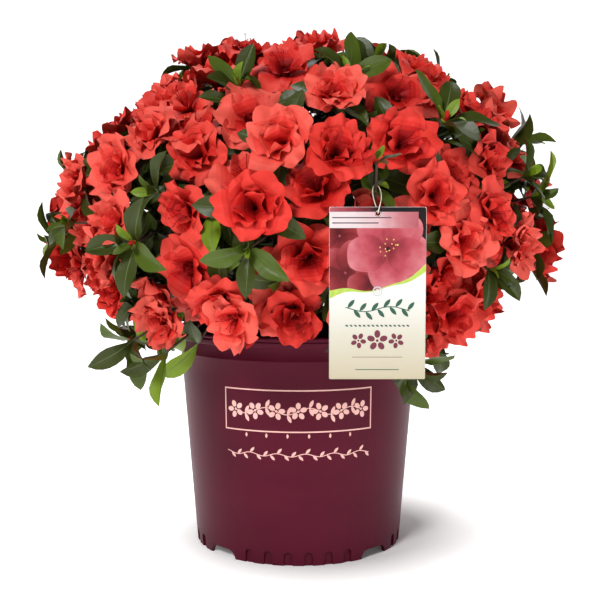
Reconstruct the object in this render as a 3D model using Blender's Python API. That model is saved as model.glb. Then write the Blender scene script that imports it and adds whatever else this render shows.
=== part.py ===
"""Azalea shrub in full flower, growing in its nursery pot.

Metres, +Z up, front towards -Y.  The origin is on the floor, on the pot's axis.
A short woody stem rises from the potting mix and carries one bough for each
mass of the crown.  A mass is a spray of twigs that end in open flowers or in
rosettes of leaves, and it keeps to its own wedge of the crown.
"""
import math
import random

import bmesh
import bpy
from mathutils import Matrix, Vector

# ---------------------------------------------------------------- driving sizes
GAP = 0.0003                      # clearance between neighbouring solids

POT_HEIGHT = 0.246
POT_RIM_RADIUS = 0.140            # outside of the rolled rim
POT_FOOT_RADIUS = 0.1176          # outside of the foot ring
POT_WALL = 0.0024
POT_BAND_DEPTH = 0.011            # height of the rim band above its step
POT_FLOOR = 0.014                 # underside of the raised floor
POT_FLOOR_THICKNESS = 0.0026
POT_SIDES = 40
FOOT_RING_WIDTH = 0.0042

NOTCH_COUNT = 4                   # wide arched drain notches in the foot ring
NOTCH_WIDTH = 0.039
NOTCH_HEIGHT = 0.010
FLUTE_COUNT = 6                   # narrow flutes between two notches
FLUTE_PITCH = math.radians(10.6)
FLUTE_WIDTH = 0.0092
FLUTE_HEIGHT = 0.0152
FLUTE_DEPTH = 0.0022
NOTCH_STEPS = 3                   # facets in each shoulder of a notch
FLUTE_STEPS = 1
NOTCH_REACH = 0.012               # how far a notch cuts in from the foot's outside
CUTTER_BELOW = 0.004              # how far a cutter starts below the foot ...
CUTTER_BEYOND = 0.006             # ... and outside it
BAND_STAND_OUT = 0.0030           # how far the rim band stands out from the tapered wall
BAND_EDGE = (0.0009, 0.0008)      # bevel of the band's lower edge, inwards and upwards
LIP_EDGE = (0.0012, 0.0018)       # bevel of the lip's outer edge, inwards and downwards
LIP_WIDTH = 0.0045
FOOT_RING_SLOPE = 0.0015          # lean of the foot ring's inner face

MIX_SURFACE = 0.217               # top of the potting mix
MIX_MOUND = 0.004                 # rise of its middle
MIX_MOUND_RADIUS = 0.024          # flat top that the stem stands on

STEM_FORK = 0.290                 # top of the main stem
STEM_RADIUS = 0.0100
STEM_FLARE_RADIUS = 0.0165
STEM_LEAN = 0.0025                # sideways drift from foot to fork
STEM_SIDES = 12
STEM_BEND = 2.2                   # how far round a sine its sideways drift goes, radians
STEM_FLARE_FALL = 2.6             # how quickly its flared foot narrows

CROWN_MIDDLE = Vector((0.0, 0.0, 0.352))
CROWN_HALF_WIDTH = 0.280
CROWN_HALF_HEIGHT = 0.226

BOUGH_END = 0.50                  # share of the way from crown middle to shell
BOUGH_BASE_RADIUS = 0.0034
BOUGH_TIP_RADIUS = 0.0024
BOUGH_SIDES = 5
BOUGH_LAST = 0.025                # straight last stretch, in line with the mass's stem
STEM_END = 0.70                   # share of the way to the shell where a mass's stem stops
TWIG_RADIUS = 0.0020
CORE_AT = 0.70                    # dense inner growth of a mass: its middle ...
CORE_HALF = (0.066, 0.050, 0.037)  # ... and half sizes across, up and outwards
CORE_OFF_BOUGH = 0.007            # its distance from the bough's tip

FLOWER_RADIUS = (0.0345, 0.0395)
LEAF_LENGTH = (0.046, 0.058)
LEAF_SLIMNESS = 0.19              # half-width over length
LEAF_OPENING = 1.12               # angle between a leaf and its shoot
OPENING_STRAY = 0.25              # most by which that angle varies
LEAF_STRAY = 0.22                 # most by which a leaf turns from its even place round the shoot
LEAF_WIDEST = 0.52                # share of its length at which a leaf is widest
SHORTEST_LEAF = 0.55              # share to which a wall may shorten a leaf before it is left out
SHORTEST_KEPT = 0.3
KEPT_STEP = 0.04
ROSETTE_LEAVES = 5
KNOT_RADIUS = 0.0042              # swollen shoot tip that a rosette's leaves stand on
KNOT_TOP = 0.0018
KNOT_FOOT = 0.0034
KNOT_SINK = 0.0008                # how far the knot's rim lies below its tip

TAG_WIDTH = 0.084
TAG_HEIGHT = 0.150
TAG_THICKNESS = 0.0009
TAG_CORNER = 0.0012
TAG_CENTRE = Vector((0.0688, -0.2875, 0.3016))
TAG_HOLE_RADIUS = 0.0021
TAG_HOLE_DROP = 0.0055            # hole centre below the tag's top edge
LOOP_LENGTH = 0.026
LOOP_HALF_WIDTH = 0.0044
LOOP_LEAN = 0.028
LOOP_RADIUS = 0.0005

# Masses of the crown: name, azimuth and elevation of its middle in degrees
# (azimuth 0 is the front, 90 the right), reach as a share of the crown's half
# width, number of flowers, number of leaf rosettes, and growth seed.
MASSES = (
    ("top_front", 0, 65, 0.96, 4, 2, 2),
    ("top_right", 120, 65, 0.97, 4, 2, 9),
    ("top_left", -120, 65, 0.96, 4, 2, 37),
    ("upper_1", -30, 36, 0.92, 5, 2, 23),
    ("upper_2", 30, 36, 1.03, 5, 2, 14),
    ("upper_3", 90, 36, 1.00, 4, 3, 41),
    ("upper_4", 150, 36, 1.00, 5, 2, 9),
    ("upper_5", -150, 36, 0.96, 4, 3, 4),
    ("upper_6", -90, 36, 0.92, 5, 2, 44),
    ("middle_1", 0, 6, 1.03, 5, 2, 3),
    ("middle_2", 45, 6, 1.00, 5, 2, 1),
    ("middle_3", 90, 6, 1.02, 4, 3, 13),
    ("middle_4", 135, 6, 1.00, 5, 2, 11),
    ("middle_5", 180, 6, 1.00, 5, 2, 14),
    ("middle_6", -135, 6, 1.00, 5, 2, 1),
    ("middle_7", -90, 6, 1.00, 4, 3, 2),
    ("middle_8", -45, 6, 0.97, 4, 3, 2),
    ("skirt_1", -22, -22, 0.90, 4, 2, 17),
    ("skirt_2", 23, -22, 0.93, 4, 2, 3),
    ("skirt_3", 68, -22, 0.86, 3, 3, 24),
    ("skirt_4", 113, -22, 0.90, 4, 2, 27),
    ("skirt_5", 158, -22, 0.92, 4, 2, 6),
    ("skirt_6", -157, -22, 0.92, 4, 2, 24),
    ("skirt_7", -112, -22, 0.90, 4, 2, 19),
    ("skirt_8", -67, -22, 0.86, 3, 3, 17),
)
TAG_HOLDER = "middle_1"
TAG_TWIG_AT = 0.93                # share of the loop's length at which its twig crosses it
TAG_TWIG_TILT = math.radians(27)  # lean of that twig towards the front
TAG_TWIG_RADIUS = 0.0012
TAG_TWIG_BELOW = 0.030
TAG_TWIG_ABOVE = 0.022
TAG_TWIG_LEAVES = 0.55            # size of its leaves beside the others

FLOWER_SHARE = (0.96, 1.02)       # how near the shell flowers and rosettes stand
ROSETTE_SHARE = (0.88, 0.97)
CELL_MARGIN = 0.0004              # each mass stays this far inside its wedge
CANDIDATES = 32                   # trial places for each shoot
SHOOT_SPREAD = (34.0, 25.0)       # trial range in azimuth and elevation, degrees
LOWEST_FLOWER = -24.0             # elevation below which shoots bear leaves only
LOWEST_SHOOT = -40.0
TIP_LEAN = (0.38, 0.55)           # most lean of a flower and of a rosette, radians
ROOM_AT_WALL = 0.12               # room counted for a shoot right at its wedge's wall
ROOM_MOST = 0.6                   # room beyond which a place gets no better
FORK_SHARE = (0.15, 0.85)         # where twigs fork: share of the stem at the first, and onwards
FLOWER_SET_IN = 0.62              # share of a flower's radius between its tip and a wall
TWIG_IN_FLOWER = 0.36             # share of its radius at which its twig ends below its tip
TWIG_TAPER = 0.8
RIM_CLEARANCE = 0.0015            # room that foliage leaves beside the pot's rim ...
RIM_ZONE = 0.004                  # ... which counts as beside it from this far out
TAG_CLEARANCE = 0.0008            # room behind the tag
LOOP_CLEARANCE = 0.0015           # room behind the loop


# ---------------------------------------------------------------- scene helpers
def clear_objects():
    for old in list(bpy.data.objects):
        bpy.data.objects.remove(old, do_unlink=True)


def material(name, colour, roughness):
    made = bpy.data.materials.new(name)
    made.use_nodes = True
    shader = made.node_tree.nodes["Principled BSDF"]
    shader.inputs["Base Color"].default_value = (*colour, 1.0)
    shader.inputs["Roughness"].default_value = roughness
    made.diffuse_color = (*colour, 1.0)
    return made


def add_object(name, bm, finish, smooth=False):
    mesh = bpy.data.meshes.new(name)
    bmesh.ops.recalc_face_normals(bm, faces=bm.faces)
    bm.to_mesh(mesh)
    bm.free()
    if smooth:
        mesh.shade_smooth()
        mesh.set_sharp_from_angle(angle=math.radians(35))
    made = bpy.data.objects.new(name, mesh)
    made.data.materials.append(finish)
    bpy.context.scene.collection.objects.link(made)
    return made


def apply_modifiers(target):
    """Replace an object's mesh by the mesh that its modifiers give."""
    graph = bpy.context.evaluated_depsgraph_get()
    graph.update()
    result = bpy.data.meshes.new_from_object(target.evaluated_get(graph))
    target.modifiers.clear()
    target.data = result


# ---------------------------------------------------------------- loop of the tag
def loop_middle(along):
    """Middle of the loop at a share of its length, from the tag's hole upwards."""
    hole = TAG_CENTRE + Vector((0.0, 0.0, TAG_HEIGHT / 2 - TAG_HOLE_DROP))
    return hole + Vector((0.0, LOOP_LEAN * along * along, LOOP_LENGTH * along))


def loop_point(turn):
    """Centre line of the loop: through the tag's hole at turn 0, over its twig at pi."""
    along = (1.0 - math.cos(turn)) / 2
    facing = along * math.pi / 2
    side = Vector((math.sin(facing), -math.cos(facing), 0.0))
    return loop_middle(along) + side * (LOOP_HALF_WIDTH * math.sin(turn))


# ---------------------------------------------------------------- crown geometry
def crown_direction(azimuth, elevation):
    """Unit vector in the crown's own proportions, where its shell is a sphere."""
    a = math.radians(azimuth)
    e = math.radians(elevation)
    return Vector((math.cos(e) * math.sin(a), -math.cos(e) * math.cos(a), math.sin(e)))


def crown_point(azimuth, elevation, share):
    """Point on the way from the crown's middle (share 0) to its shell (share 1)."""
    d = crown_direction(azimuth, elevation) * share
    return CROWN_MIDDLE + Vector((d.x * CROWN_HALF_WIDTH, d.y * CROWN_HALF_WIDTH,
                                  d.z * CROWN_HALF_HEIGHT))


def outward(point):
    """Direction in which the crown's shell faces at a point."""
    q = point - CROWN_MIDDLE
    return Vector((q.x / CROWN_HALF_WIDTH ** 2, q.y / CROWN_HALF_WIDTH ** 2,
                   q.z / CROWN_HALF_HEIGHT ** 2)).normalized()


def wedge_walls(index):
    """Planes (point, inward normal) between a mass and each of the others."""
    own = crown_direction(*MASSES[index][1:3])
    walls = []
    for other, row in enumerate(MASSES):
        if other == index:
            continue
        d = own - crown_direction(*row[1:3])
        normal = Vector((d.x / CROWN_HALF_WIDTH, d.y / CROWN_HALF_WIDTH, d.z / CROWN_HALF_HEIGHT))
        walls.append((CROWN_MIDDLE, normal.normalized()))
    return walls


def pot_and_tag_walls(centre, size):
    """Planes that keep something near a place off the pot's rim, the hang tag and its loop."""
    walls = []
    flat = Vector((centre.x, centre.y, 0.0))
    if centre.z < POT_HEIGHT + size:
        if flat.length > POT_RIM_RADIUS + RIM_ZONE:
            side = flat.normalized()
            walls.append((side * (POT_RIM_RADIUS + RIM_CLEARANCE), side))
        else:
            over = Vector((0.0, 0.0, POT_HEIGHT + RIM_CLEARANCE))
            walls.append((over, Vector((0.0, 0.0, 1.0))))
    beside_tag = abs(centre.x - TAG_CENTRE.x) < TAG_WIDTH / 2 + size
    level_with_tag = abs(centre.z - TAG_CENTRE.z) < TAG_HEIGHT / 2 + size
    if beside_tag and level_with_tag and centre.y < 0.0:
        behind = Vector((0.0, TAG_THICKNESS / 2 + TAG_CLEARANCE, 0.0))
        walls.append((TAG_CENTRE + behind, Vector((0.0, 1.0, 0.0))))
    beside_loop = abs(centre.x - TAG_CENTRE.x) < LOOP_HALF_WIDTH + size
    level_with_loop = abs(centre.z - loop_middle(0.5).z) < LOOP_LENGTH / 2 + size
    if beside_loop and level_with_loop and centre.y < 0.0:
        behind = Vector((0.0, LOOP_CLEARANCE, 0.0))
        walls.append((loop_middle(1.0) + behind, Vector((0.0, 1.0, 0.0))))
    return walls


def depth_inside(walls, point):
    """Distance from a point to the nearest wall, negative outside."""
    return min((point - place).dot(normal) for place, normal in walls)


def pulled_inside(walls, point, clearance):
    """The point, moved straight off each wall that it is too close to."""
    moved = point.copy()
    for _ in range(6):
        for place, normal in walls:
            short = clearance - (moved - place).dot(normal)
            if short > 0.0:
                moved += normal * short
    return moved


# ---------------------------------------------------------------- growth rule
def shoot_tips(index, rng):
    """Well spaced ends of a mass's shoots, as (azimuth, elevation) in degrees."""
    _, azimuth, elevation, _, flowers, rosettes, _ = MASSES[index]
    own = crown_direction(azimuth, elevation)
    others = [crown_direction(*row[1:3]) for k, row in enumerate(MASSES) if k != index]
    tips = []
    for number in range(flowers + rosettes):
        lowest = LOWEST_FLOWER if number < flowers else LOWEST_SHOOT
        best = None
        best_room = -1.0
        for _ in range(CANDIDATES):
            e = elevation + rng.uniform(-1.0, 1.0) * SHOOT_SPREAD[1]
            a = azimuth + rng.uniform(-1.0, 1.0) * SHOOT_SPREAD[0] / max(
                0.35, math.cos(math.radians(e)))
            d = crown_direction(a, e)
            inside = min((own - o).normalized().dot(d) for o in others)
            room = min([(d - t[2]).length for t in tips]
                       + [2.0 * inside + ROOM_AT_WALL, ROOM_MOST])
            if inside > 0.0 and e > lowest and room > best_room:
                best = (a, e, d)
                best_room = room
        if best is not None:
            tips.append(best)
    return [(a, e) for a, e, _ in tips]


def tilted(axis, rng, most):
    """The axis, leaned by up to `most` radians in a random direction."""
    side = axis.orthogonal().normalized()
    side.rotate(Matrix.Rotation(rng.uniform(0.0, math.tau), 3, axis))
    leaned = axis.copy()
    leaned.rotate(Matrix.Rotation(rng.uniform(0.0, most), 3, side))
    return leaned


def leaf_fan(axis, rng, scale=1.0):
    """Directions and lengths of the leaves that stand round a shoot's tip."""
    side = axis.orthogonal().normalized()
    start = rng.uniform(0.0, math.tau)
    leaves = []
    for k in range(ROSETTE_LEAVES):
        around = side.copy()
        turn = start + k * math.tau / ROSETTE_LEAVES + rng.uniform(-LEAF_STRAY, LEAF_STRAY)
        around.rotate(Matrix.Rotation(turn, 3, axis))
        opening = LEAF_OPENING + rng.uniform(-OPENING_STRAY, OPENING_STRAY)
        direction = axis * math.cos(opening) + around * math.sin(opening)
        leaves.append((direction, scale * rng.uniform(*LEAF_LENGTH)))
    return leaves


def tag_twig(root):
    """Path and heading of the twig that crosses the tag's loop near its top."""
    crossing = loop_middle(TAG_TWIG_AT)
    heading = Vector((0.0, -math.sin(TAG_TWIG_TILT), math.cos(TAG_TWIG_TILT)))
    path = [root, crossing - heading * TAG_TWIG_BELOW, crossing,
            crossing + heading * TAG_TWIG_ABOVE]
    return path, heading


def grow(index):
    """Twigs, leaf rosettes and flowers of one mass, from its row in MASSES alone."""
    name, azimuth, elevation, reach, flowers, _, seed = MASSES[index]
    rng = random.Random(seed)
    walls = wedge_walls(index)
    start = crown_point(azimuth, elevation, BOUGH_END)
    end = crown_point(azimuth, elevation, STEM_END * reach)
    start += (end - start).normalized() * GAP
    twigs = [([start, end], (BOUGH_TIP_RADIUS, TWIG_RADIUS))]
    rosettes = []
    blooms = []
    tips = shoot_tips(index, rng)
    for number, (a, e) in enumerate(tips):
        in_flower = number < flowers
        share = reach * rng.uniform(*(FLOWER_SHARE if in_flower else ROSETTE_SHARE))
        tip = crown_point(a, e, share)
        size = rng.uniform(*FLOWER_RADIUS)
        nearby = walls + pot_and_tag_walls(tip, size)
        tip = pulled_inside(nearby, tip, FLOWER_SET_IN * size)
        axis = tilted(outward(tip), rng, TIP_LEAN[0 if in_flower else 1])
        fork = start.lerp(end, FORK_SHARE[0] + FORK_SHARE[1] * (number + 0.5) / len(tips))
        foot = tip - axis * (TWIG_IN_FLOWER * size if in_flower else 0.0)
        twigs.append(([fork, foot], (TWIG_RADIUS, TWIG_TAPER * TWIG_RADIUS)))
        if in_flower:
            blooms.append((tip, axis, size, rng.uniform(0.0, math.tau), nearby))
        else:
            rosettes.append((tip, axis, leaf_fan(axis, rng), nearby))
    if name == TAG_HOLDER:
        path, axis = tag_twig(start.lerp(end, 0.5))
        twigs.append((path, (TWIG_RADIUS,) + (TAG_TWIG_RADIUS,) * 3))
        rosettes.append((path[-1], axis, leaf_fan(axis, rng, TAG_TWIG_LEAVES), walls))
    return twigs, rosettes, blooms


# ---------------------------------------------------------------- plant solids
def limb_mesh(path, radii, sides):
    """Tapering limb with flat ends, swept along a path of points."""
    bm = bmesh.new()
    rings = []
    reference = (path[1] - path[0]).orthogonal().normalized()
    for k, point in enumerate(path):
        ahead = path[min(k + 1, len(path) - 1)] - path[max(k - 1, 0)]
        ahead.normalize()
        reference = (reference - ahead * reference.dot(ahead)).normalized()
        across = ahead.cross(reference)
        ring = []
        for s in range(sides):
            turn = math.tau * s / sides
            offset = (reference * math.cos(turn) + across * math.sin(turn)) * radii[k]
            ring.append(bm.verts.new(point + offset))
        rings.append(ring)
    for low, high in zip(rings, rings[1:]):
        for s in range(sides):
            after = (s + 1) % sides
            bm.faces.new((low[s], low[after], high[after], high[s]))
    bm.faces.new(reversed(rings[0]))
    bm.faces.new(rings[-1])
    return bm


def kept_inside(walls, origin, reach_out):
    """Largest share of a vector from an inner point that stays inside the walls."""
    keep = 1.0
    while keep > SHORTEST_KEPT and depth_inside(walls, origin + reach_out * keep) < CELL_MARGIN:
        keep -= KEPT_STEP
    return keep


def rosette_mesh(tip, axis, leaves, walls):
    """Leaves standing round a swollen shoot tip, each a keeled blade of eight faces."""
    bm = bmesh.new()
    kept = []
    for direction, length in leaves:
        keep = kept_inside(walls, tip, direction * length)
        if keep > SHORTEST_LEAF:
            kept.append((direction, length * keep))
    top = bm.verts.new(tip + axis * KNOT_TOP)
    foot = bm.verts.new(tip - axis * KNOT_FOOT)
    flat = [(d - axis * d.dot(axis)).normalized() for d, _ in kept]
    hub = []
    for k, around in enumerate(flat):
        between = (around + flat[(k + 1) % len(flat)]).normalized()
        if around.cross(between).dot(axis) < 0.0:
            between = -between
        hub.append(bm.verts.new(tip + between * KNOT_RADIUS - axis * KNOT_SINK))
    for k, (direction, length) in enumerate(kept):
        across = axis.cross(direction).normalized() * (length * LEAF_SLIMNESS)
        middle = tip + direction * (length * LEAF_WIDEST)
        right = bm.verts.new(middle - across)
        left = bm.verts.new(middle + across)
        point = bm.verts.new(tip + direction * length)
        before = hub[k - 1]
        after = hub[k]
        for centre, corners in ((top, (before, right, point, left, after)),
                                (foot, (after, left, point, right, before))):
            for one, two in zip(corners, corners[1:]):
                bm.faces.new((centre, one, two))
    return bm


PETALS = 5
# Rings of a flower from its throat to its foot: radius and height, as shares of
# the flower's radius.  The notches stand half a petal round from the tips.
THROAT_HEIGHT = 0.02
INNER_RING = (0.42, 0.15)
PETAL_TIP = (1.00, 0.00)
PETAL_NOTCH = (0.80, -0.08)
BACK_RING = (0.40, -0.20)
FLOWER_FOOT = -0.52


def flower_mesh(tip, axis, radius, spin, walls):
    """Open five-lobed flower on a short tube, its lobes folded in off the walls."""
    side = axis.orthogonal().normalized()
    side.rotate(Matrix.Rotation(spin, 3, axis))
    across = axis.cross(side)

    def corner(turn, share, height):
        flat = side * math.cos(turn) + across * math.sin(turn)
        point = tip + (flat * share + axis * height) * radius
        toward = point - tip
        return bm.verts.new(tip + toward * kept_inside(walls, tip, toward))

    bm = bmesh.new()
    petal = math.tau / PETALS
    throat = corner(0.0, 0.0, THROAT_HEIGHT)
    inner = [corner(k * petal, *INNER_RING) for k in range(PETALS)]
    tips = [corner(k * petal, *PETAL_TIP) for k in range(PETALS)]
    notches = [corner((k + 0.5) * petal, *PETAL_NOTCH) for k in range(PETALS)]
    back = [corner(k * petal, *BACK_RING) for k in range(PETALS)]
    foot = corner(0.0, 0.0, FLOWER_FOOT)
    for k in range(PETALS):
        after = (k + 1) % PETALS
        bm.faces.new((throat, inner[k], inner[after]))
        bm.faces.new((inner[k], tips[k], notches[k]))
        bm.faces.new((inner[k], notches[k], inner[after]))
        bm.faces.new((inner[after], notches[k], tips[after]))
        bm.faces.new((foot, back[after], back[k]))
        bm.faces.new((back[k], notches[k], tips[k]))
        bm.faces.new((back[k], back[after], notches[k]))
        bm.faces.new((back[after], tips[after], notches[k]))
    return bm


def core_mesh(index, walls):
    """Lump of close inner growth that the shoots of a mass stand out of."""
    _, azimuth, elevation, reach, _, _, _ = MASSES[index]
    middle = crown_point(azimuth, elevation, CORE_AT * reach)
    out = outward(middle)
    across = Vector((0.0, 0.0, 1.0)).cross(out).normalized()
    up = out.cross(across)
    bough_tip = crown_point(azimuth, elevation, BOUGH_END)
    walls = walls + [(bough_tip + out * CORE_OFF_BOUGH, out)]
    bm = bmesh.new()
    bmesh.ops.create_icosphere(bm, subdivisions=1, radius=1.0)
    for vert in bm.verts:
        spot = across * vert.co.x * CORE_HALF[0] + up * vert.co.y * CORE_HALF[1]
        spot += out * vert.co.z * CORE_HALF[2]
        vert.co = middle + spot * kept_inside(walls, middle, spot)
    return bm


def shells(bm):
    """Groups of connected faces, the largest first."""
    left = set(bm.faces)
    groups = []
    while left:
        queue = [left.pop()]
        group = []
        while queue:
            face = queue.pop()
            group.append(face)
            for edge in face.edges:
                for near in edge.link_faces:
                    if near in left:
                        left.remove(near)
                        queue.append(near)
        groups.append(group)
    return sorted(groups, key=lambda faces: -sum(face.calc_area() for face in faces))


def keep_largest_shell(target):
    """Drop loose scraps and fill hollows that the union has sealed."""
    bm = bmesh.new()
    bm.from_mesh(target.data)
    for group in shells(bm)[1:]:
        bmesh.ops.delete(bm, geom=group, context="FACES")
    bm.to_mesh(target.data)
    bm.free()


def make_mass(index, finishes):
    """One mass of the crown, its twigs, leaves and flowers fused into one solid."""
    name = "crown_" + MASSES[index][0]
    twigs, rosettes, blooms = grow(index)
    group = bpy.data.collections.new(name)
    bpy.context.scene.collection.children.link(group)
    pieces = []
    for path, radii in twigs[1:]:
        pieces.append(add_object("twig", limb_mesh(path, radii, 3), finishes["bark"]))
    for rosette in rosettes:
        pieces.append(add_object("rosette", rosette_mesh(*rosette), finishes["leaf"]))
    walls = wedge_walls(index) + pot_and_tag_walls(twigs[0][0][1], CORE_HALF[0])
    pieces.append(add_object("core", core_mesh(index, walls), finishes["leaf"]))
    for bloom in blooms:
        pieces.append(add_object("flower", flower_mesh(*bloom), finishes["petal"]))
    for piece in pieces:
        bpy.context.scene.collection.objects.unlink(piece)
        group.objects.link(piece)
    mass = add_object(name, limb_mesh(*twigs[0], 3), finishes["bark"])
    union = mass.modifiers.new("fuse", "BOOLEAN")
    union.operation = "UNION"
    union.operand_type = "COLLECTION"
    union.collection = group
    union.solver = "EXACT"
    union.material_mode = "TRANSFER"
    apply_modifiers(mass)
    keep_largest_shell(mass)
    for piece in pieces:
        bpy.data.objects.remove(piece, do_unlink=True)
    bpy.data.collections.remove(group)
    return mass


def stem_axis(height):
    """Centre line of the main stem at a height above the floor."""
    rise = (height - MIX_SURFACE) / (STEM_FORK - MIX_SURFACE)
    return Vector((STEM_LEAN * math.sin(rise * STEM_BEND), STEM_LEAN * rise, height))


def stem_radius(height):
    rise = (height - MIX_SURFACE) / (STEM_FORK - MIX_SURFACE)
    flare = max(0.0, 1.0 - rise * STEM_FLARE_FALL) ** 2
    return STEM_RADIUS + (STEM_FLARE_RADIUS - STEM_RADIUS) * flare


def make_main_stem(finish):
    """Short woody stem, from a flat cut at the potting mix to its fork."""
    foot = MIX_SURFACE + MIX_MOUND + GAP
    levels = [foot + (STEM_FORK - foot) * k / 5 for k in range(6)]
    path = [stem_axis(level) for level in levels]
    radii = [stem_radius(level) for level in levels]
    bm = limb_mesh(path, radii, STEM_SIDES)
    bm.verts.ensure_lookup_table()
    for vert in bm.verts[:STEM_SIDES]:
        vert.co.z = foot
    for vert in bm.verts[-STEM_SIDES:]:
        vert.co.z = STEM_FORK
    return add_object("main_stem", bm, finish, smooth=True)


BOUGH_FOOT = {"skirt": 0.243, "middle": 0.260, "upper": 0.277, "top": STEM_FORK}
TOP_BOUGH_OFFSET = 0.0048
TOP_BOUGH_LEAD = (0.004, 0.03)    # first bend of a top bough: outwards and upwards of its foot
SIDE_BOUGH_LEAD = 0.4             # first bend of the others: share of their length
SIDE_BOUGH_SAG = 0.004


def make_bough(index, finish):
    """Tapering limb from the main stem to the place where its mass begins."""
    name, azimuth, elevation, reach = MASSES[index][:4]
    tier = name.split("_")[0]
    level = BOUGH_FOOT[tier]
    flat = crown_direction(azimuth, 0.0)
    end = crown_point(azimuth, elevation, BOUGH_END)
    heading = (crown_point(azimuth, elevation, STEM_END * reach) - end).normalized()
    if tier == "top":
        foot = stem_axis(level) + flat * TOP_BOUGH_OFFSET + Vector((0.0, 0.0, GAP))
        lead = foot + Vector((0.0, 0.0, TOP_BOUGH_LEAD[1])) + flat * TOP_BOUGH_LEAD[0]
    else:
        rise = Vector((0.0, 0.0, BOUGH_BASE_RADIUS))
        foot = stem_axis(level) + flat * (stem_radius(level) + GAP) + rise
        lead = foot.lerp(end, SIDE_BOUGH_LEAD) - Vector((0.0, 0.0, SIDE_BOUGH_SAG))
    path = [foot, lead, end - heading * BOUGH_LAST, end]
    radii = [BOUGH_BASE_RADIUS + (BOUGH_TIP_RADIUS - BOUGH_BASE_RADIUS) * k / 3 for k in range(4)]
    bm = limb_mesh(path, radii, BOUGH_SIDES)
    bm.verts.ensure_lookup_table()
    base = bm.verts[:BOUGH_SIDES]
    if tier == "top":
        for vert in base:
            vert.co.z = foot.z
    else:
        for vert in base:
            drift = (vert.co - foot).dot(flat)
            vert.co -= flat * drift
            reach_out = Vector((vert.co.x - stem_axis(vert.co.z).x,
                                vert.co.y - stem_axis(vert.co.z).y, 0.0))
            need = stem_radius(vert.co.z) + GAP - reach_out.length
            vert.co += flat * max(0.0, need)
    return add_object("bough_" + name, bm, finish, smooth=True)


# ---------------------------------------------------------------- pot and mix
def pot_radius(height):
    """Outside radius of the pot's plain wall at a height."""
    top = POT_RIM_RADIUS - BAND_STAND_OUT
    return POT_FOOT_RADIUS + (top - POT_FOOT_RADIUS) * height / POT_HEIGHT


def turned(profile, sides):
    """Solid of revolution about Z from (radius, height) corners; 0 radius closes an end."""
    bm = bmesh.new()
    rings = []
    for radius, height in profile:
        if radius == 0.0:
            rings.append([bm.verts.new((0.0, 0.0, height))] * sides)
            continue
        rings.append([bm.verts.new((radius * math.sin(math.tau * s / sides),
                                    -radius * math.cos(math.tau * s / sides), height))
                      for s in range(sides)])
    for low, high in zip(rings, rings[1:] + rings[:1]):
        for s in range(sides):
            after = (s + 1) % sides
            corners = []
            for vert in (low[s], low[after], high[after], high[s]):
                if vert not in corners:
                    corners.append(vert)
            if len(corners) > 2:
                bm.faces.new(corners)
    return bm


def pot_profile():
    """Section of the pot from the middle of its underside, out, up, over and in."""
    rim = POT_RIM_RADIUS
    top = POT_HEIGHT
    step = top - POT_BAND_DEPTH
    inner_floor = POT_FLOOR + POT_FLOOR_THICKNESS
    return (
        (0.0, POT_FLOOR),
        (POT_FOOT_RADIUS - FOOT_RING_WIDTH - FOOT_RING_SLOPE, POT_FLOOR),
        (POT_FOOT_RADIUS - FOOT_RING_WIDTH, 0.0),
        (POT_FOOT_RADIUS, 0.0),
        (pot_radius(step), step),
        (rim - BAND_EDGE[0], step + BAND_EDGE[1]),
        (rim, top - LIP_EDGE[1]),
        (rim - LIP_EDGE[0], top),
        (rim - LIP_WIDTH, top),
        (pot_radius(step) - POT_WALL, step),
        (pot_radius(inner_floor) - POT_WALL, inner_floor),
        (0.0, inner_floor),
    )


def arch_cutter(name, width, height, steps, inner, outer, azimuth):
    """Round-headed block that cuts an arched opening up from the floor."""
    bm = bmesh.new()
    corner = min(width / 2, height)
    outline = [(-width / 2, -CUTTER_BELOW), (width / 2, -CUTTER_BELOW)]
    for side in (1, -1):
        for k in range(steps + 1):
            turn = math.pi / 2 * (k / steps if side > 0 else 1.0 - k / steps)
            outline.append((side * (width / 2 - corner + corner * math.cos(turn)),
                            height - corner + corner * math.sin(turn)))
    bottom = bm.faces.new([bm.verts.new((x, -inner, z)) for x, z in outline])
    grown = bmesh.ops.extrude_face_region(bm, geom=[bottom])
    moved = [item for item in grown["geom"] if isinstance(item, bmesh.types.BMVert)]
    bmesh.ops.translate(bm, verts=moved, vec=(0.0, inner - outer, 0.0))
    bmesh.ops.remove_doubles(bm, verts=bm.verts, dist=0.00001)
    bmesh.ops.rotate(bm, verts=bm.verts, matrix=Matrix.Rotation(azimuth, 3, "Z"))
    made = add_object(name, bm, bpy.data.materials["pot plastic"])
    made.hide_render = True
    made.display_type = "WIRE"
    return made


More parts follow.
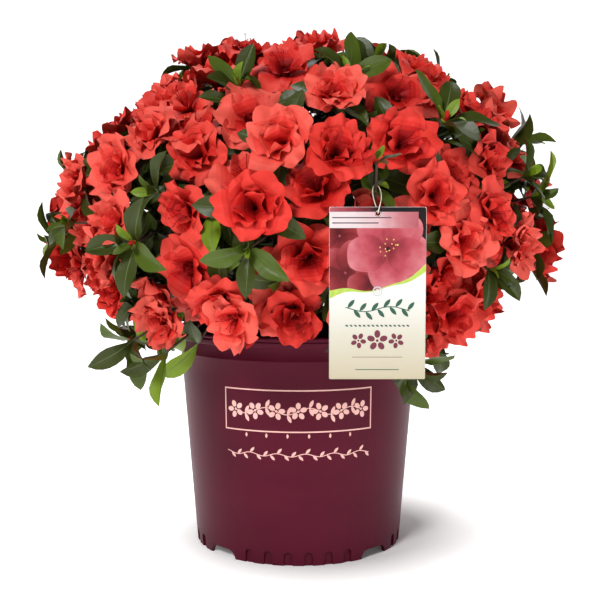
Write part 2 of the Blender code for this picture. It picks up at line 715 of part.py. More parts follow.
def make_pot(finish):
    """Moulded pot: tapered wall, rolled rim, foot ring with notches and flutes."""
    pot = add_object("pot", turned(pot_profile(), POT_SIDES), finish)
    cutters = bpy.data.collections.new("foot cutters")
    bpy.context.scene.collection.children.link(cutters)
    made = []
    beyond = POT_FOOT_RADIUS + CUTTER_BEYOND
    for quarter in range(NOTCH_COUNT):
        middle = math.tau / NOTCH_COUNT * quarter
        turns = [middle + (k - (FLUTE_COUNT - 1) / 2) * FLUTE_PITCH for k in range(FLUTE_COUNT)]
        made.append(arch_cutter("notch", NOTCH_WIDTH, NOTCH_HEIGHT, NOTCH_STEPS,
                                POT_FOOT_RADIUS - NOTCH_REACH, beyond,
                                middle + math.pi / NOTCH_COUNT))
        made += [arch_cutter("flute", FLUTE_WIDTH, FLUTE_HEIGHT, FLUTE_STEPS,
                             POT_FOOT_RADIUS - FLUTE_DEPTH, beyond, turn) for turn in turns]
    for cutter in made:
        bpy.context.scene.collection.objects.unlink(cutter)
        cutters.objects.link(cutter)
    cut = pot.modifiers.new("foot openings", "BOOLEAN")
    cut.operation = "DIFFERENCE"
    cut.operand_type = "COLLECTION"
    cut.collection = cutters
    cut.solver = "EXACT"
    apply_modifiers(pot)
    for cutter in made:
        bpy.data.objects.remove(cutter, do_unlink=True)
    bpy.data.collections.remove(cutters)
    pot.data.shade_smooth()
    pot.data.set_sharp_from_angle(angle=math.radians(30))
    return pot


def make_potting_mix(finish):
    """Body of potting mix, a little below the rim and mounded to the stem."""
    floor = POT_FLOOR + POT_FLOOR_THICKNESS + GAP

    def wall(height):
        return pot_radius(height) - POT_WALL - 2 * GAP

    profile = (
        (0.0, floor),
        (wall(floor), floor),
        (wall(MIX_SURFACE), MIX_SURFACE),
        (MIX_MOUND_RADIUS, MIX_SURFACE + MIX_MOUND),
        (0.0, MIX_SURFACE + MIX_MOUND),
    )
    return add_object("potting_mix", turned(profile, POT_SIDES), finish, smooth=True)


# ---------------------------------------------------------------- hang tag
def make_tag(finish):
    """Stiff printed card with rounded corners and a hole for its loop."""
    bm = bmesh.new()
    outline = []
    for k in range(4):
        turn = math.tau / 4 * k
        diagonal = turn + math.pi / 4
        centre = Vector((math.copysign(TAG_WIDTH / 2 - TAG_CORNER, math.cos(diagonal)),
                         math.copysign(TAG_HEIGHT / 2 - TAG_CORNER, math.sin(diagonal))))
        for step in range(4):
            angle = turn + math.pi / 6 * step
            outline.append((centre.x + TAG_CORNER * math.cos(angle),
                            centre.y + TAG_CORNER * math.sin(angle)))
    face = bm.faces.new([bm.verts.new((x, -TAG_THICKNESS / 2, z)) for x, z in outline])
    grown = bmesh.ops.extrude_face_region(bm, geom=[face])
    moved = [item for item in grown["geom"] if isinstance(item, bmesh.types.BMVert)]
    bmesh.ops.translate(bm, verts=moved, vec=(0.0, TAG_THICKNESS, 0.0))
    bmesh.ops.translate(bm, verts=bm.verts, vec=TAG_CENTRE)
    tag = add_object("hang_tag", bm, finish)
    punch = bmesh.new()
    place = TAG_CENTRE + Vector((0.0, 0.0, TAG_HEIGHT / 2 - TAG_HOLE_DROP))
    bmesh.ops.create_cone(punch, cap_ends=True, segments=16, radius1=TAG_HOLE_RADIUS,
                          radius2=TAG_HOLE_RADIUS, depth=0.01,
                          matrix=Matrix.Translation(place) @ Matrix.Rotation(math.pi / 2, 4, "X"))
    cutter = add_object("punch", punch, finish)
    cutter.hide_render = True
    cutter.display_type = "WIRE"
    hole = tag.modifiers.new("hole", "BOOLEAN")
    hole.operation = "DIFFERENCE"
    hole.object = cutter
    hole.solver = "EXACT"
    apply_modifiers(tag)
    bpy.data.objects.remove(cutter, do_unlink=True)
    return tag


def make_tag_loop(finish):
    """Closed loop of filament that hangs the tag on a twig."""
    steps = 20
    sides = 4
    bm = bmesh.new()
    rings = []
    for k in range(steps):
        turn = math.tau * k / steps
        point = loop_point(turn)
        ahead = (loop_point(turn + 0.01) - loop_point(turn - 0.01)).normalized()
        inward = loop_point(math.pi * 0.5).lerp(loop_point(math.pi * 1.5), 0.5) - point
        inward = (inward - ahead * inward.dot(ahead)).normalized()
        across = ahead.cross(inward)
        rings.append([bm.verts.new(point + (inward * math.cos(math.tau * s / sides)
                                            + across * math.sin(math.tau * s / sides))
                                   * LOOP_RADIUS) for s in range(sides)])
    for low, high in zip(rings, rings[1:] + rings[:1]):
        for s in range(sides):
            after = (s + 1) % sides
            bm.faces.new((low[s], low[after], high[after], high[s]))
    return add_object("tag_loop", bm, finish, smooth=True)


# ---------------------------------------------------------------- assembly
def main():
    clear_objects()
    finishes = {
        "bark": material("brown bark", (0.11, 0.075, 0.045), 0.8),
        "leaf": material("azalea leaf", (0.035, 0.085, 0.025), 0.5),
        "petal": material("coral red petal", (0.80, 0.055, 0.035), 0.55),
    }
    plastic = material("pot plastic", (0.10, 0.022, 0.032), 0.38)
    mix = material("potting mix", (0.035, 0.024, 0.017), 0.95)
    card = material("tag card", (0.85, 0.83, 0.76), 0.45)
    filament = material("loop filament", (0.72, 0.66, 0.55), 0.4)
    make_pot(plastic)
    make_potting_mix(mix)
    make_main_stem(finishes["bark"])
    for index in range(len(MASSES)):
        make_bough(index, finishes["bark"])
        make_mass(index, finishes)
    make_tag(card)
    make_tag_loop(filament)


if __name__ == "__main__":
    main()
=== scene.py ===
# %% [markdown]
# # A potted azalea in full flower
# The construction model already holds the pot, the stem, the boughs and the plain masses of the
# crown, each in its real place.  This lesson dresses that model: it grows real leaves and ruffled
# flowers on the same shoots, gives the pot its moulded skin and prints plain designs on pot and
# tag.  Everything is in metres, +Z is up and the front of the plant faces -Y.

# %% Load the frame
import math
import random

import bmesh
import bpy
import numpy as np
from mathutils import Matrix, Vector, noise


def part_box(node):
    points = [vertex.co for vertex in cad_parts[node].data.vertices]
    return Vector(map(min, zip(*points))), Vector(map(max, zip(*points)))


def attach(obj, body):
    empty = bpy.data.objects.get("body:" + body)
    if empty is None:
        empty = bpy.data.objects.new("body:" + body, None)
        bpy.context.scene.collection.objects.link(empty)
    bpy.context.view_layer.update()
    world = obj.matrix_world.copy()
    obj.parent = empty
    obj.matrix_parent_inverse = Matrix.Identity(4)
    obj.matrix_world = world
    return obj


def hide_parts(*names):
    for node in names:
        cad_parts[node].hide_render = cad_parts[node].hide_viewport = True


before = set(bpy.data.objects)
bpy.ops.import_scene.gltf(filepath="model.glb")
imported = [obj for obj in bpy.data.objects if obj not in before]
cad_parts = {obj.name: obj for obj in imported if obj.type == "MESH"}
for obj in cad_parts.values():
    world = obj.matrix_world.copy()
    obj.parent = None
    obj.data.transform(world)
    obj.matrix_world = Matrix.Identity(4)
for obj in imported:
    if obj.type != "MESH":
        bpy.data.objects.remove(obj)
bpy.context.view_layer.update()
print("nodes in the frame:", len(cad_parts))

# %% [markdown]
# ## The view
# The plant stands on the origin and is seen from chest height of a person who crouches in front of
# it, a little over a metre away.  A 60 mm lens on a 36 mm sensor frames it with a margin of floor.
# The pot's axis falls a touch left of the picture's middle, which a small sensor shift gives.

# %% Camera
LENS_MM = 60.0
SENSOR_MM = 36.0
CAMERA_PLACE = Vector((0.0, -1.155, 0.360))
CAMERA_PITCH = math.radians(4.22)
AXIS_SHIFT = 0.0028


def linked(name, data):
    """Object that is linked to the scene."""
    made = bpy.data.objects.new(name, data)
    bpy.context.scene.collection.objects.link(made)
    return made


camera_data = bpy.data.cameras.new("camera")
camera_data.lens = LENS_MM
camera_data.sensor_width = SENSOR_MM
camera_data.shift_x = AXIS_SHIFT
camera = linked("camera", camera_data)
camera.location = CAMERA_PLACE
camera.rotation_euler = (math.pi / 2 - CAMERA_PITCH, 0.0, 0.0)
bpy.context.scene.camera = camera
print("camera looks down by", round(math.degrees(CAMERA_PITCH), 2), "degrees")

# %% [markdown]
# ## Colours and material nodes
# Colours are picked as sRGB hex values, because that is how a colour chart lists them, and one
# function turns them into the linear values that shaders add up.  A second small function adds a
# node together with its settings and its links.  Each node gets a short name, and a text such as
# "grain.Fac" stands for a link from that node's output, so that a material reads as a short list.

# %% Colour and node helpers
def linear(code):
    """Linear colour of an sRGB hex value."""
    channels = [int(code[k:k + 2], 16) / 255 for k in (1, 3, 5)]
    steps = [c / 12.92 if c <= 0.04045 else ((c + 0.055) / 1.055) ** 2.4 for c in channels]
    return (*steps, 1.0)


def fill_sockets(tree, node, sockets):
    """Give each input, by name or number, a value, a hex colour or a link such as "name.Output"."""
    for name, value in sockets.items():
        if isinstance(value, str) and not value.startswith("#"):
            source, output = value.split(".")
            tree.links.new(tree.nodes[source].outputs[output], node.inputs[name])
        else:
            node.inputs[name].default_value = linear(value) if isinstance(value, str) else value


def add_node(tree, name, kind, sockets, settings=()):
    """Add a named node, set its properties, and set or link its inputs."""
    node = tree.nodes.new("ShaderNode" + kind)
    node.name = name
    for key, value in settings:
        if key == "color_ramp":
            for k, code in enumerate(value):
                stop = node.color_ramp.elements[k] if k < 2 else node.color_ramp.elements.new(1.0)
                stop.color = linear(code)
            for k, stop in enumerate(node.color_ramp.elements):
                stop.position = k / (len(value) - 1)
        else:
            setattr(node, key, value)
    fill_sockets(tree, node, sockets)


def finish(name, nodes, surface):
    """Material made of a list of nodes, and of the values and links of its surface."""
    made = bpy.data.materials.new(name)
    made.use_nodes = True
    for row in nodes:
        add_node(made.node_tree, *row)
    fill_sockets(made.node_tree, made.node_tree.nodes["Principled BSDF"], surface)
    return made


OBJECT_PLACE = ("place", "TexCoord", {})
FLAT_PLACE = ("place", "UVMap", {}, [("uv_map", "flat")])
print("a middle grey is", round(linear("#808080")[0], 3), "in linear light")

# %% [markdown]
# ## Floor and light
# The pot stands on a plain white floor that sweeps up behind it.  One wide soft lamp from the upper
# left models the petals, a weaker one from the right keeps the shaded side readable, and a bright
# even surround fills the rest.  The floor also glows white, less near the pot, so the soft shadow
# by the pot is partly cast by the lamps and partly painted shadow.

# %% Floor
FLOOR_REACH = 6.0
FLOOR_CELLS = 24
SWEEP_START = 1.6  # this far behind the pot the floor begins to sweep up ...
SWEEP_RISE = 0.55  # ... by this much after the first metre


def mesh_of(bm, name):
    """Smooth mesh from a bmesh, which is freed."""
    mesh = bpy.data.meshes.new(name)
    bm.to_mesh(mesh)
    bm.free()
    mesh.shade_smooth()
    return mesh


bm = bmesh.new()
bmesh.ops.create_grid(bm, x_segments=FLOOR_CELLS, y_segments=FLOOR_CELLS, size=FLOOR_REACH)
for vert in bm.verts:
    beyond = max(0.0, vert.co.y - SWEEP_START)
    vert.co.z = SWEEP_RISE * beyond * beyond
floor_mesh = mesh_of(bm, "floor")
linked("floor", floor_mesh)
print("floor of", len(floor_mesh.polygons), "faces")

# %% Floor paper
# The paper glows though it is no lamp, white far out and dim near the pot: the dim ring is painted
# shadow, off to the right and behind, over the shadows that the lamps cast.
PAPER_WHITE = "#f7f7f7"
PAPER_GRAIN = 900.0  # fibres about a millimetre apart, matt to the eye
PAINTED_SHADOW_MIDDLE = (0.026, 0.014, 0.0)  # the shade lies a little to the right and behind
PAINTED_SHADOW_NEAR = (0.12, 0.04)  # distance from that middle and glow of the lit floor there ...
PAINTED_GLOW_FAR = (0.21, 0.80)  # ... and where it has become as white as the surround

paper = finish("white studio paper with painted glow and shadow", (
    OBJECT_PLACE,
    ("grain", "TexNoise", {"Scale": PAPER_GRAIN, "Detail": 2.0}),
    ("bump", "Bump", {"Strength": 0.03, "Distance": 0.0002, "Height": "grain.Fac"}),
    # Glow of the paper, dim near the pot as painted shadow and white further out.
    ("away", "VectorMath", {0: "place.Object", 1: PAINTED_SHADOW_MIDDLE}, [("operation", "DISTANCE")]),
    ("glow", "MapRange", {"Value": "away.Value", "From Min": PAINTED_SHADOW_NEAR[0], "To Min": PAINTED_SHADOW_NEAR[1],
                          "From Max": PAINTED_GLOW_FAR[0], "To Max": PAINTED_GLOW_FAR[1]}),
), {"Base Color": PAPER_WHITE, "Roughness": 0.85, "Specular IOR Level": 0.2,
    "Emission Color": "#ffffff", "Emission Strength": "glow.Result", "Normal": "bump.Normal"})
floor_mesh.materials.append(paper)
print("finish of the floor:", paper.name)

# %% Lamps
LAMPS = (
    # name, place, aimed at, size in metres, power in watts
    ("key lamp", (-0.9, -1.9, 1.7), (0.0, 0.0, 0.33), 0.7, 46.0),
    ("fill lamp", (1.5, -1.5, 0.28), (0.02, 0.0, 0.12), 0.8, 12.0),
    ("top lamp", (-0.3, 0.7, 2.3), (0.0, 0.0, 0.40), 1.6, 20.0),
)
for name, place, aim, size, watts in LAMPS:
    data = bpy.data.lights.new(name, "AREA")
    data.shape = "DISK"
    data.size = size
    data.energy = watts
    lamp = linked(name, data)
    lamp.location = place
    lamp.rotation_euler = (Vector(aim) - Vector(place)).to_track_quat("-Z", "Y").to_euler()
print("lamps:", len(LAMPS))

# %% Surround
SURROUND_LIGHT = 0.0137  # how bright the surround is as a source of light ...
SURROUND_SEEN = 1.0  # ... and as it is seen, so that it stays white
world = bpy.data.worlds.new("white surround")
world.use_nodes = True
add_node(world.node_tree, "rays", "LightPath", {})
add_node(world.node_tree, "strength", "MapRange",
         {"Value": "rays.Is Camera Ray", "To Min": SURROUND_LIGHT, "To Max": SURROUND_SEEN})
fill_sockets(world.node_tree, world.node_tree.nodes["Background"],
             {"Color": "#ffffff", "Strength": "strength.Result"})
bpy.context.scene.world = world
bpy.context.scene.view_settings.view_transform = "Standard"
print("surround seen at", SURROUND_SEEN, "and shining at", SURROUND_LIGHT)

# %% [markdown]
# ## Where shoots grow
# The crown's solids were grown by a seeded rule: each mass owns a wedge of the crown, tries random
# places for its shoots and keeps the ones with the most room.  The same rule is written again here,
# with the same draws, so that every flower and every rosette stands where its solid stands.  Sizes
# of pot and tag are read from the frame; the rest are the rule's own numbers.

# %% Sizes shared with the frame
_, pot_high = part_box("pot")
POT_HEIGHT = pot_high.z
POT_RIM_RADIUS = pot_high.x
tag_low, tag_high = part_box("hang_tag")
TAG_CENTRE = (tag_low + tag_high) / 2
TAG_WIDTH = tag_high.x - tag_low.x
TAG_HEIGHT = tag_high.z - tag_low.z
TAG_THICKNESS = tag_high.y - tag_low.y
print("pot", round(POT_RIM_RADIUS * 2, 3), "m across; tag", round(TAG_WIDTH, 3), "m wide")

# %% Masses of the crown
# Name, azimuth and elevation in degrees, reach, flowers, rosettes and growth seed.
MASSES = (
    ("top_front", 0, 65, 0.96, 4, 2, 2),
    ("top_right", 120, 65, 0.97, 4, 2, 9),
    ("top_left", -120, 65, 0.96, 4, 2, 37),
    ("upper_1", -30, 36, 0.92, 5, 2, 23),
    ("upper_2", 30, 36, 1.03, 5, 2, 14),
    ("upper_3", 90, 36, 1.00, 4, 3, 41),
    ("upper_4", 150, 36, 1.00, 5, 2, 9),
    ("upper_5", -150, 36, 0.96, 4, 3, 4),
    ("upper_6", -90, 36, 0.92, 5, 2, 44),
    ("middle_1", 0, 6, 1.03, 5, 2, 3),
    ("middle_2", 45, 6, 1.00, 5, 2, 1),
    ("middle_3", 90, 6, 1.02, 4, 3, 13),
    ("middle_4", 135, 6, 1.00, 5, 2, 11),
    ("middle_5", 180, 6, 1.00, 5, 2, 14),
    ("middle_6", -135, 6, 1.00, 5, 2, 1),
    ("middle_7", -90, 6, 1.00, 4, 3, 2),
    ("middle_8", -45, 6, 0.97, 4, 3, 2),
    ("skirt_1", -22, -22, 0.90, 4, 2, 17),
    ("skirt_2", 23, -22, 0.93, 4, 2, 3),
    ("skirt_3", 68, -22, 0.86, 3, 3, 24),
    ("skirt_4", 113, -22, 0.90, 4, 2, 27),
    ("skirt_5", 158, -22, 0.92, 4, 2, 6),
    ("skirt_6", -157, -22, 0.92, 4, 2, 24),
    ("skirt_7", -112, -22, 0.90, 4, 2, 19),
    ("skirt_8", -67, -22, 0.86, 3, 3, 17),
)
CROWN_NODES = ["crown_" + row[0] for row in MASSES]
BOUGH_NODES = ["bough_" + row[0] for row in MASSES]
print("masses:", len(MASSES))

# %% Crown geometry
CROWN_MIDDLE = Vector((0.0, 0.0, 0.352))
CROWN_HALF_WIDTH = 0.280
CROWN_HALF_HEIGHT = 0.226


def crown_direction(azimuth, elevation):
    """Unit vector in the crown's own proportions, where its shell is a sphere."""
    a = math.radians(azimuth)
    e = math.radians(elevation)
    return Vector((math.cos(e) * math.sin(a), -math.cos(e) * math.cos(a), math.sin(e)))


def crown_point(azimuth, elevation, share):
    """Point on the way from the crown's middle (share 0) to its shell (share 1)."""
    d = crown_direction(azimuth, elevation) * share
    return CROWN_MIDDLE + Vector((d.x * CROWN_HALF_WIDTH, d.y * CROWN_HALF_WIDTH,
                                  d.z * CROWN_HALF_HEIGHT))


def outward(point):
    """Direction in which the crown's shell faces at a point."""
    q = point - CROWN_MIDDLE
    return Vector((q.x / CROWN_HALF_WIDTH ** 2, q.y / CROWN_HALF_WIDTH ** 2,
                   q.z / CROWN_HALF_HEIGHT ** 2)).normalized()


print("the crown's side is at", tuple(round(c, 3) for c in crown_point(90, 0, 1.0)))

# %% [markdown]
# ## Walls that keep masses apart
# Each mass is one solid, so its shoots may not cross into the next.  The wedge between two masses,
# the pot's rim, the card and its loop are all told as a plane with a side to stay on: a shoot that
# is too close is moved straight off the plane, which is simpler than growing round an obstacle.

# %% Walls
TAG_HOLE_DROP = 0.0055
LOOP_LENGTH = 0.026
LOOP_HALF_WIDTH = 0.0044
LOOP_LEAN = 0.028
LOOP_CLEARANCE = 0.0015
TAG_CLEARANCE = 0.0008
RIM_CLEARANCE = 0.0015
RIM_MARGIN = 0.004
WALL_ROUNDS = 6
UP = Vector((0.0, 0.0, 1.0))
BACK = Vector((0.0, 1.0, 0.0))


def loop_middle(along):
    """Middle of the tag's loop at a share of its length, from the tag's hole upwards."""
    hole = TAG_CENTRE + Vector((0.0, 0.0, TAG_HEIGHT / 2 - TAG_HOLE_DROP))
    return hole + Vector((0.0, LOOP_LEAN * along * along, LOOP_LENGTH * along))


def wedge_walls(index):
    """Planes (point, inward normal) between a mass and each of the others."""
    own = crown_direction(*MASSES[index][1:3])
    walls = []
    for other, row in enumerate(MASSES):
        if other == index:
            continue
        d = own - crown_direction(*row[1:3])
        normal = Vector((d.x / CROWN_HALF_WIDTH, d.y / CROWN_HALF_WIDTH, d.z / CROWN_HALF_HEIGHT))
        walls.append((CROWN_MIDDLE, normal.normalized()))
    return walls


def pot_and_tag_walls(centre, size):
    """Planes that keep something near a place off the pot's rim, the hang tag and its loop."""
    walls = []
    flat = Vector((centre.x, centre.y, 0.0))
    if centre.z < POT_HEIGHT + size:
        if flat.length > POT_RIM_RADIUS + RIM_MARGIN:
            side = flat.normalized()
            walls.append((side * (POT_RIM_RADIUS + RIM_CLEARANCE), side))
        else:
            walls.append((UP * (POT_HEIGHT + RIM_CLEARANCE), UP))
    beside_tag = abs(centre.x - TAG_CENTRE.x) < TAG_WIDTH / 2 + size
    level_with_tag = abs(centre.z - TAG_CENTRE.z) < TAG_HEIGHT / 2 + size
    if beside_tag and level_with_tag and centre.y < 0.0:
        walls.append((TAG_CENTRE + BACK * (TAG_THICKNESS / 2 + TAG_CLEARANCE), BACK))
    beside_loop = abs(centre.x - TAG_CENTRE.x) < LOOP_HALF_WIDTH + size
    level_with_loop = abs(centre.z - loop_middle(0.5).z) < LOOP_LENGTH / 2 + size
    if beside_loop and level_with_loop and centre.y < 0.0:
        walls.append((loop_middle(1.0) + BACK * LOOP_CLEARANCE, BACK))
    return walls


def pulled_inside(walls, point, clearance):
    """The point, moved straight off each wall that it is too close to."""
    moved = point.copy()
    for _ in range(WALL_ROUNDS):
        for place, normal in walls:
            short = clearance - (moved - place).dot(normal)
            if short > 0.0:
                moved += normal * short
    return moved


print("walls between a mass and the others:", len(wedge_walls(0)))

# %% Places of the shoots
CANDIDATES = 32  # trial places for each shoot
SHOOT_SPREAD = (34.0, 25.0)  # degrees of azimuth and elevation round the mass's middle
NARROWEST = 0.35  # least share of a circle of latitude that a spread is set by
LOWEST_FLOWER = -24.0
LOWEST_SHOOT = -40.0
ROOM_AT_WALL = 0.12  # room counted for a shoot right at its wedge's wall
ROOM_MOST = 0.6


def best_tip(index, rng, tips, lowest):
    """The trial place with the most room in a mass's wedge, as (azimuth, elevation, direction)."""
    azimuth, elevation = MASSES[index][1:3]
    own = crown_direction(azimuth, elevation)
    others = [crown_direction(*row[1:3]) for k, row in enumerate(MASSES) if k != index]
    best = None
    best_room = -1.0
    for _ in range(CANDIDATES):
        e = elevation + rng.uniform(-1.0, 1.0) * SHOOT_SPREAD[1]
        a = azimuth + rng.uniform(-1.0, 1.0) * SHOOT_SPREAD[0] / max(
            NARROWEST, math.cos(math.radians(e)))
        d = crown_direction(a, e)
        inside = min((own - o).normalized().dot(d) for o in others)
        room = min([(d - t[2]).length for t in tips] + [2.0 * inside + ROOM_AT_WALL, ROOM_MOST])
        if inside > 0.0 and e > lowest and room > best_room:
            best = (a, e, d)
            best_room = room
    return best


def shoot_tips(index, rng):
    """Well spaced ends of a mass's shoots."""
    flowers, rosettes = MASSES[index][4:6]
    tips = []
    for number in range(flowers + rosettes):
        tip = best_tip(index, rng, tips, LOWEST_FLOWER if number < flowers else LOWEST_SHOOT)
        if tip is not None:
            tips.append(tip)
    return tips


print("shoots of the first mass:", len(shoot_tips(0, random.Random(MASSES[0][6]))))

# %% Leaves round a shoot
LEAF_LENGTH = (0.046, 0.058)
LEAF_OPENING = 1.12
LEAF_STRAY = 0.22
OPENING_STRAY = 0.25
ROSETTE_LEAVES = 5


def tilted(axis, rng, most):
    """The axis, leaned by up to `most` radians in a random direction."""
    side = axis.orthogonal().normalized()
    side.rotate(Matrix.Rotation(rng.uniform(0.0, math.tau), 3, axis))
    leaned = axis.copy()
    leaned.rotate(Matrix.Rotation(rng.uniform(0.0, most), 3, side))
    return leaned


def leaf_fan(axis, rng, scale=1.0, count=ROSETTE_LEAVES, opening=LEAF_OPENING):
    """Directions and lengths of the leaves that stand round a shoot's tip."""
    side = axis.orthogonal().normalized()
    start = rng.uniform(0.0, math.tau)
    leaves = []
    for k in range(count):
        around = side.copy()
        turn = start + k * math.tau / count + rng.uniform(-LEAF_STRAY, LEAF_STRAY)
        around.rotate(Matrix.Rotation(turn, 3, axis))
        open_by = opening + rng.uniform(-OPENING_STRAY, OPENING_STRAY)
        direction = axis * math.cos(open_by) + around * math.sin(open_by)
        leaves.append((direction, scale * rng.uniform(*LEAF_LENGTH)))
    return leaves


print("leaves round an upright shoot:", len(leaf_fan(UP, random.Random(0))))

# %% Growth of one mass
GAP = 0.0003
BOUGH_END = 0.50  # shares of the way from the crown's middle to its shell
STEM_END = 0.70
FORK_SHARE = (0.15, 0.85)  # where the first shoot forks off a stem, and the rest's spread
FLOWER_RADIUS = (0.0345, 0.0395)
FLOWER_DEPTH = 0.66  # from a flower's face to the foot of its tube, of its radius
FLOWER_SET_IN = 0.62  # share of a flower's radius between its tip and a wall
FLOWER_SHARE = (0.96, 1.02)
ROSETTE_SHARE = (0.88, 0.97)
TIP_LEAN = (0.38, 0.55)  # most that a flower and a rosette lean, in radians
TAG_HOLDER = "middle_1"
TAG_TWIG_AT = 0.93
TAG_TWIG_TILT = math.radians(27)
TAG_TWIG_BELOW = 0.030
TAG_TWIG_ABOVE = 0.022
TAG_TWIG_LEAVES = 0.55


def tag_twig(root):
    """Path and heading of the twig that crosses the tag's loop near its top."""
    crossing = loop_middle(TAG_TWIG_AT)
    heading = Vector((0.0, -math.sin(TAG_TWIG_TILT), math.cos(TAG_TWIG_TILT)))
    path = [root, crossing - heading * TAG_TWIG_BELOW, crossing,
            crossing + heading * TAG_TWIG_ABOVE]
    return path, heading


def grow(index):
    """Stem, forks, leaf rosettes and flowers of one mass, as its solid has them."""
    name, azimuth, elevation, reach, flowers, _, seed = MASSES[index]
    rng = random.Random(seed)
    walls = wedge_walls(index)
    start = crown_point(azimuth, elevation, BOUGH_END)
    end = crown_point(azimuth, elevation, STEM_END * reach)
    start += (end - start).normalized() * GAP
    twigs = [[start, end]]
    rosettes = []
    blooms = []
    tips = shoot_tips(index, rng)
    for number, (a, e, _) in enumerate(tips):
        in_flower = number < flowers
        share = reach * rng.uniform(*(FLOWER_SHARE if in_flower else ROSETTE_SHARE))
        tip = crown_point(a, e, share)
        size = rng.uniform(*FLOWER_RADIUS)
        tip = pulled_inside(walls + pot_and_tag_walls(tip, size), tip, FLOWER_SET_IN * size)
        axis = tilted(outward(tip), rng, TIP_LEAN[0] if in_flower else TIP_LEAN[1])
        fork = start.lerp(end, FORK_SHARE[0] + FORK_SHARE[1] * (number + 0.5) / len(tips))
        foot = tip - axis * (FLOWER_DEPTH * size if in_flower else 0.0)
        twigs.append([fork, foot])
        if in_flower:
            blooms.append((tip, axis, size, rng.uniform(0.0, math.tau)))
        else:
            rosettes.append((tip, axis, leaf_fan(axis, rng)))
    if name == TAG_HOLDER:
        path, axis = tag_twig(start.lerp(end, 0.5))
        twigs.append(path)
        rosettes.append((path[-1], axis, leaf_fan(axis, rng, TAG_TWIG_LEAVES)))
    return tips, twigs, rosettes, blooms


print("twigs of the mass that holds the tag:", len(grow(9)[1]))

# %% Grow them all
grown = [grow(index) for index in range(len(MASSES))]
print("flowers:", sum(len(g[3]) for g in grown), "rosettes:", sum(len(g[2]) for g in grown))

# %% [markdown]
# ## Heaps of small shapes
# A shrub has thousands of leaves and petals.  As objects they would choke the file, so each kind is
# modelled once or a few times, and its copies are written into one joined mesh with numpy arrays.
# A shape keeps its points, its faces and a flat map (across, along) for vein patterns.

# %% Shapes
class Shape:
    """A small mesh as arrays: points, corners of its faces, their number, finish and flat map."""

    def __init__(self, bm):
        layer = bm.loops.layers.uv.active
        bm.verts.index_update()
        self.points = np.array([v.co for v in bm.verts])
        self.corners = np.array([l.vert.index for f in bm.faces for l in f.loops])
        self.sizes = np.array([len(f.loops) for f in bm.faces])
        self.zones = np.array([f.material_index for f in bm.faces])
        self.flat = (np.array([l[layer].uv for f in bm.faces for l in f.loops])
                     if layer else np.zeros((len(self.corners), 2)))
        bm.free()


def place_piece(name, mesh, finishes):
    """Object that rides on the plant's one body and carries the given finishes."""
    for finish in finishes:
        mesh.materials.append(finish)
    made = linked(name, mesh)
    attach(made, "root")
    return made


def facing(axis, spin):
    """Rows of a frame whose Z is the axis, turned about it."""
    side = axis.orthogonal().normalized()
    side.rotate(Matrix.Rotation(spin, 3, axis))
    return (side, axis.cross(side), axis)


def along(direction, up):
    """Rows of a frame whose Y is a direction and whose Z leans towards up."""
    top = (up - direction * up.dot(direction)).normalized()
    return (direction.cross(top), direction, top)


print("a frame that faces up has its Z at", tuple(facing(UP, 0.0)[2]))

# %% Heaps of copies
class Heap:
    """Copies of shapes, joined into one mesh at the end."""

    def __init__(self):
        self.copies = []
        self.total = 0

    def add(self, shape, rows, origin, scale, limits=()):
        """Place a copy whose X, Y and Z axes are the rows, then push it off each limit."""
        points = (shape.points * scale) @ np.array(rows) + np.array(origin)
        for limit in limits:
            points = limit(points)
        self.copies.append((points, shape.corners + self.total, shape.sizes, shape.zones,
                            shape.flat))
        self.total += len(points)

    def join(self, name, finishes, slot, *nodes):
        """One smooth mesh object of all copies, riding on the plant's body."""
        mesh = bpy.data.meshes.new(name)
        points, corners, sizes, zones, flat = (np.concatenate(c) for c in zip(*self.copies))
        mesh.vertices.add(self.total)
        mesh.vertices.foreach_set("co", points.ravel())
        mesh.loops.add(len(corners))
        mesh.loops.foreach_set("vertex_index", corners)
        mesh.polygons.add(len(sizes))
        mesh.polygons.foreach_set("loop_start", np.concatenate(([0], np.cumsum(sizes)[:-1])))
        mesh.polygons.foreach_set("use_smooth", np.ones(len(sizes), bool))
        mesh.polygons.foreach_set("material_index", zones)
        mesh.uv_layers.new(name="flat").data.foreach_set("uv", flat.ravel())
        mesh.update(calc_edges=True)
        mesh.validate()
        made = place_piece(name, mesh, finishes)
        if nodes:
            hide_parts(*nodes)
        print(name, "has", int((sizes - 2).sum()), "triangles")
        return made


print("a heap starts with", Heap().total, "points")

# %% [markdown]
# ## Limbs
# Stems, twigs and the thin stamens of a flower are all the same thing at another scale: a ring of
# edges that is extruded along a path while it turns and shrinks.  Each ring has its own frame, and
# the step from one frame to the next is one matrix.

# %% Limb
def ring_frames(path, radii):
    """Matrices of the rings along a path, each with its radius as scale and no needless twist."""
    frames = []
    side = (path[1] - path[0]).orthogonal().normalized()
    for k, point in enumerate(path):
        ahead = (path[min(k + 1, len(path) - 1)] - path[max(k - 1, 0)]).normalized()
        side = (side - ahead * side.dot(ahead)).normalized()
        turn = Matrix((side, ahead.cross(side), ahead)).transposed().to_4x4()
        frames.append(Matrix.Translation(point) @ turn @ Matrix.Scale(radii[k], 4))
    return frames


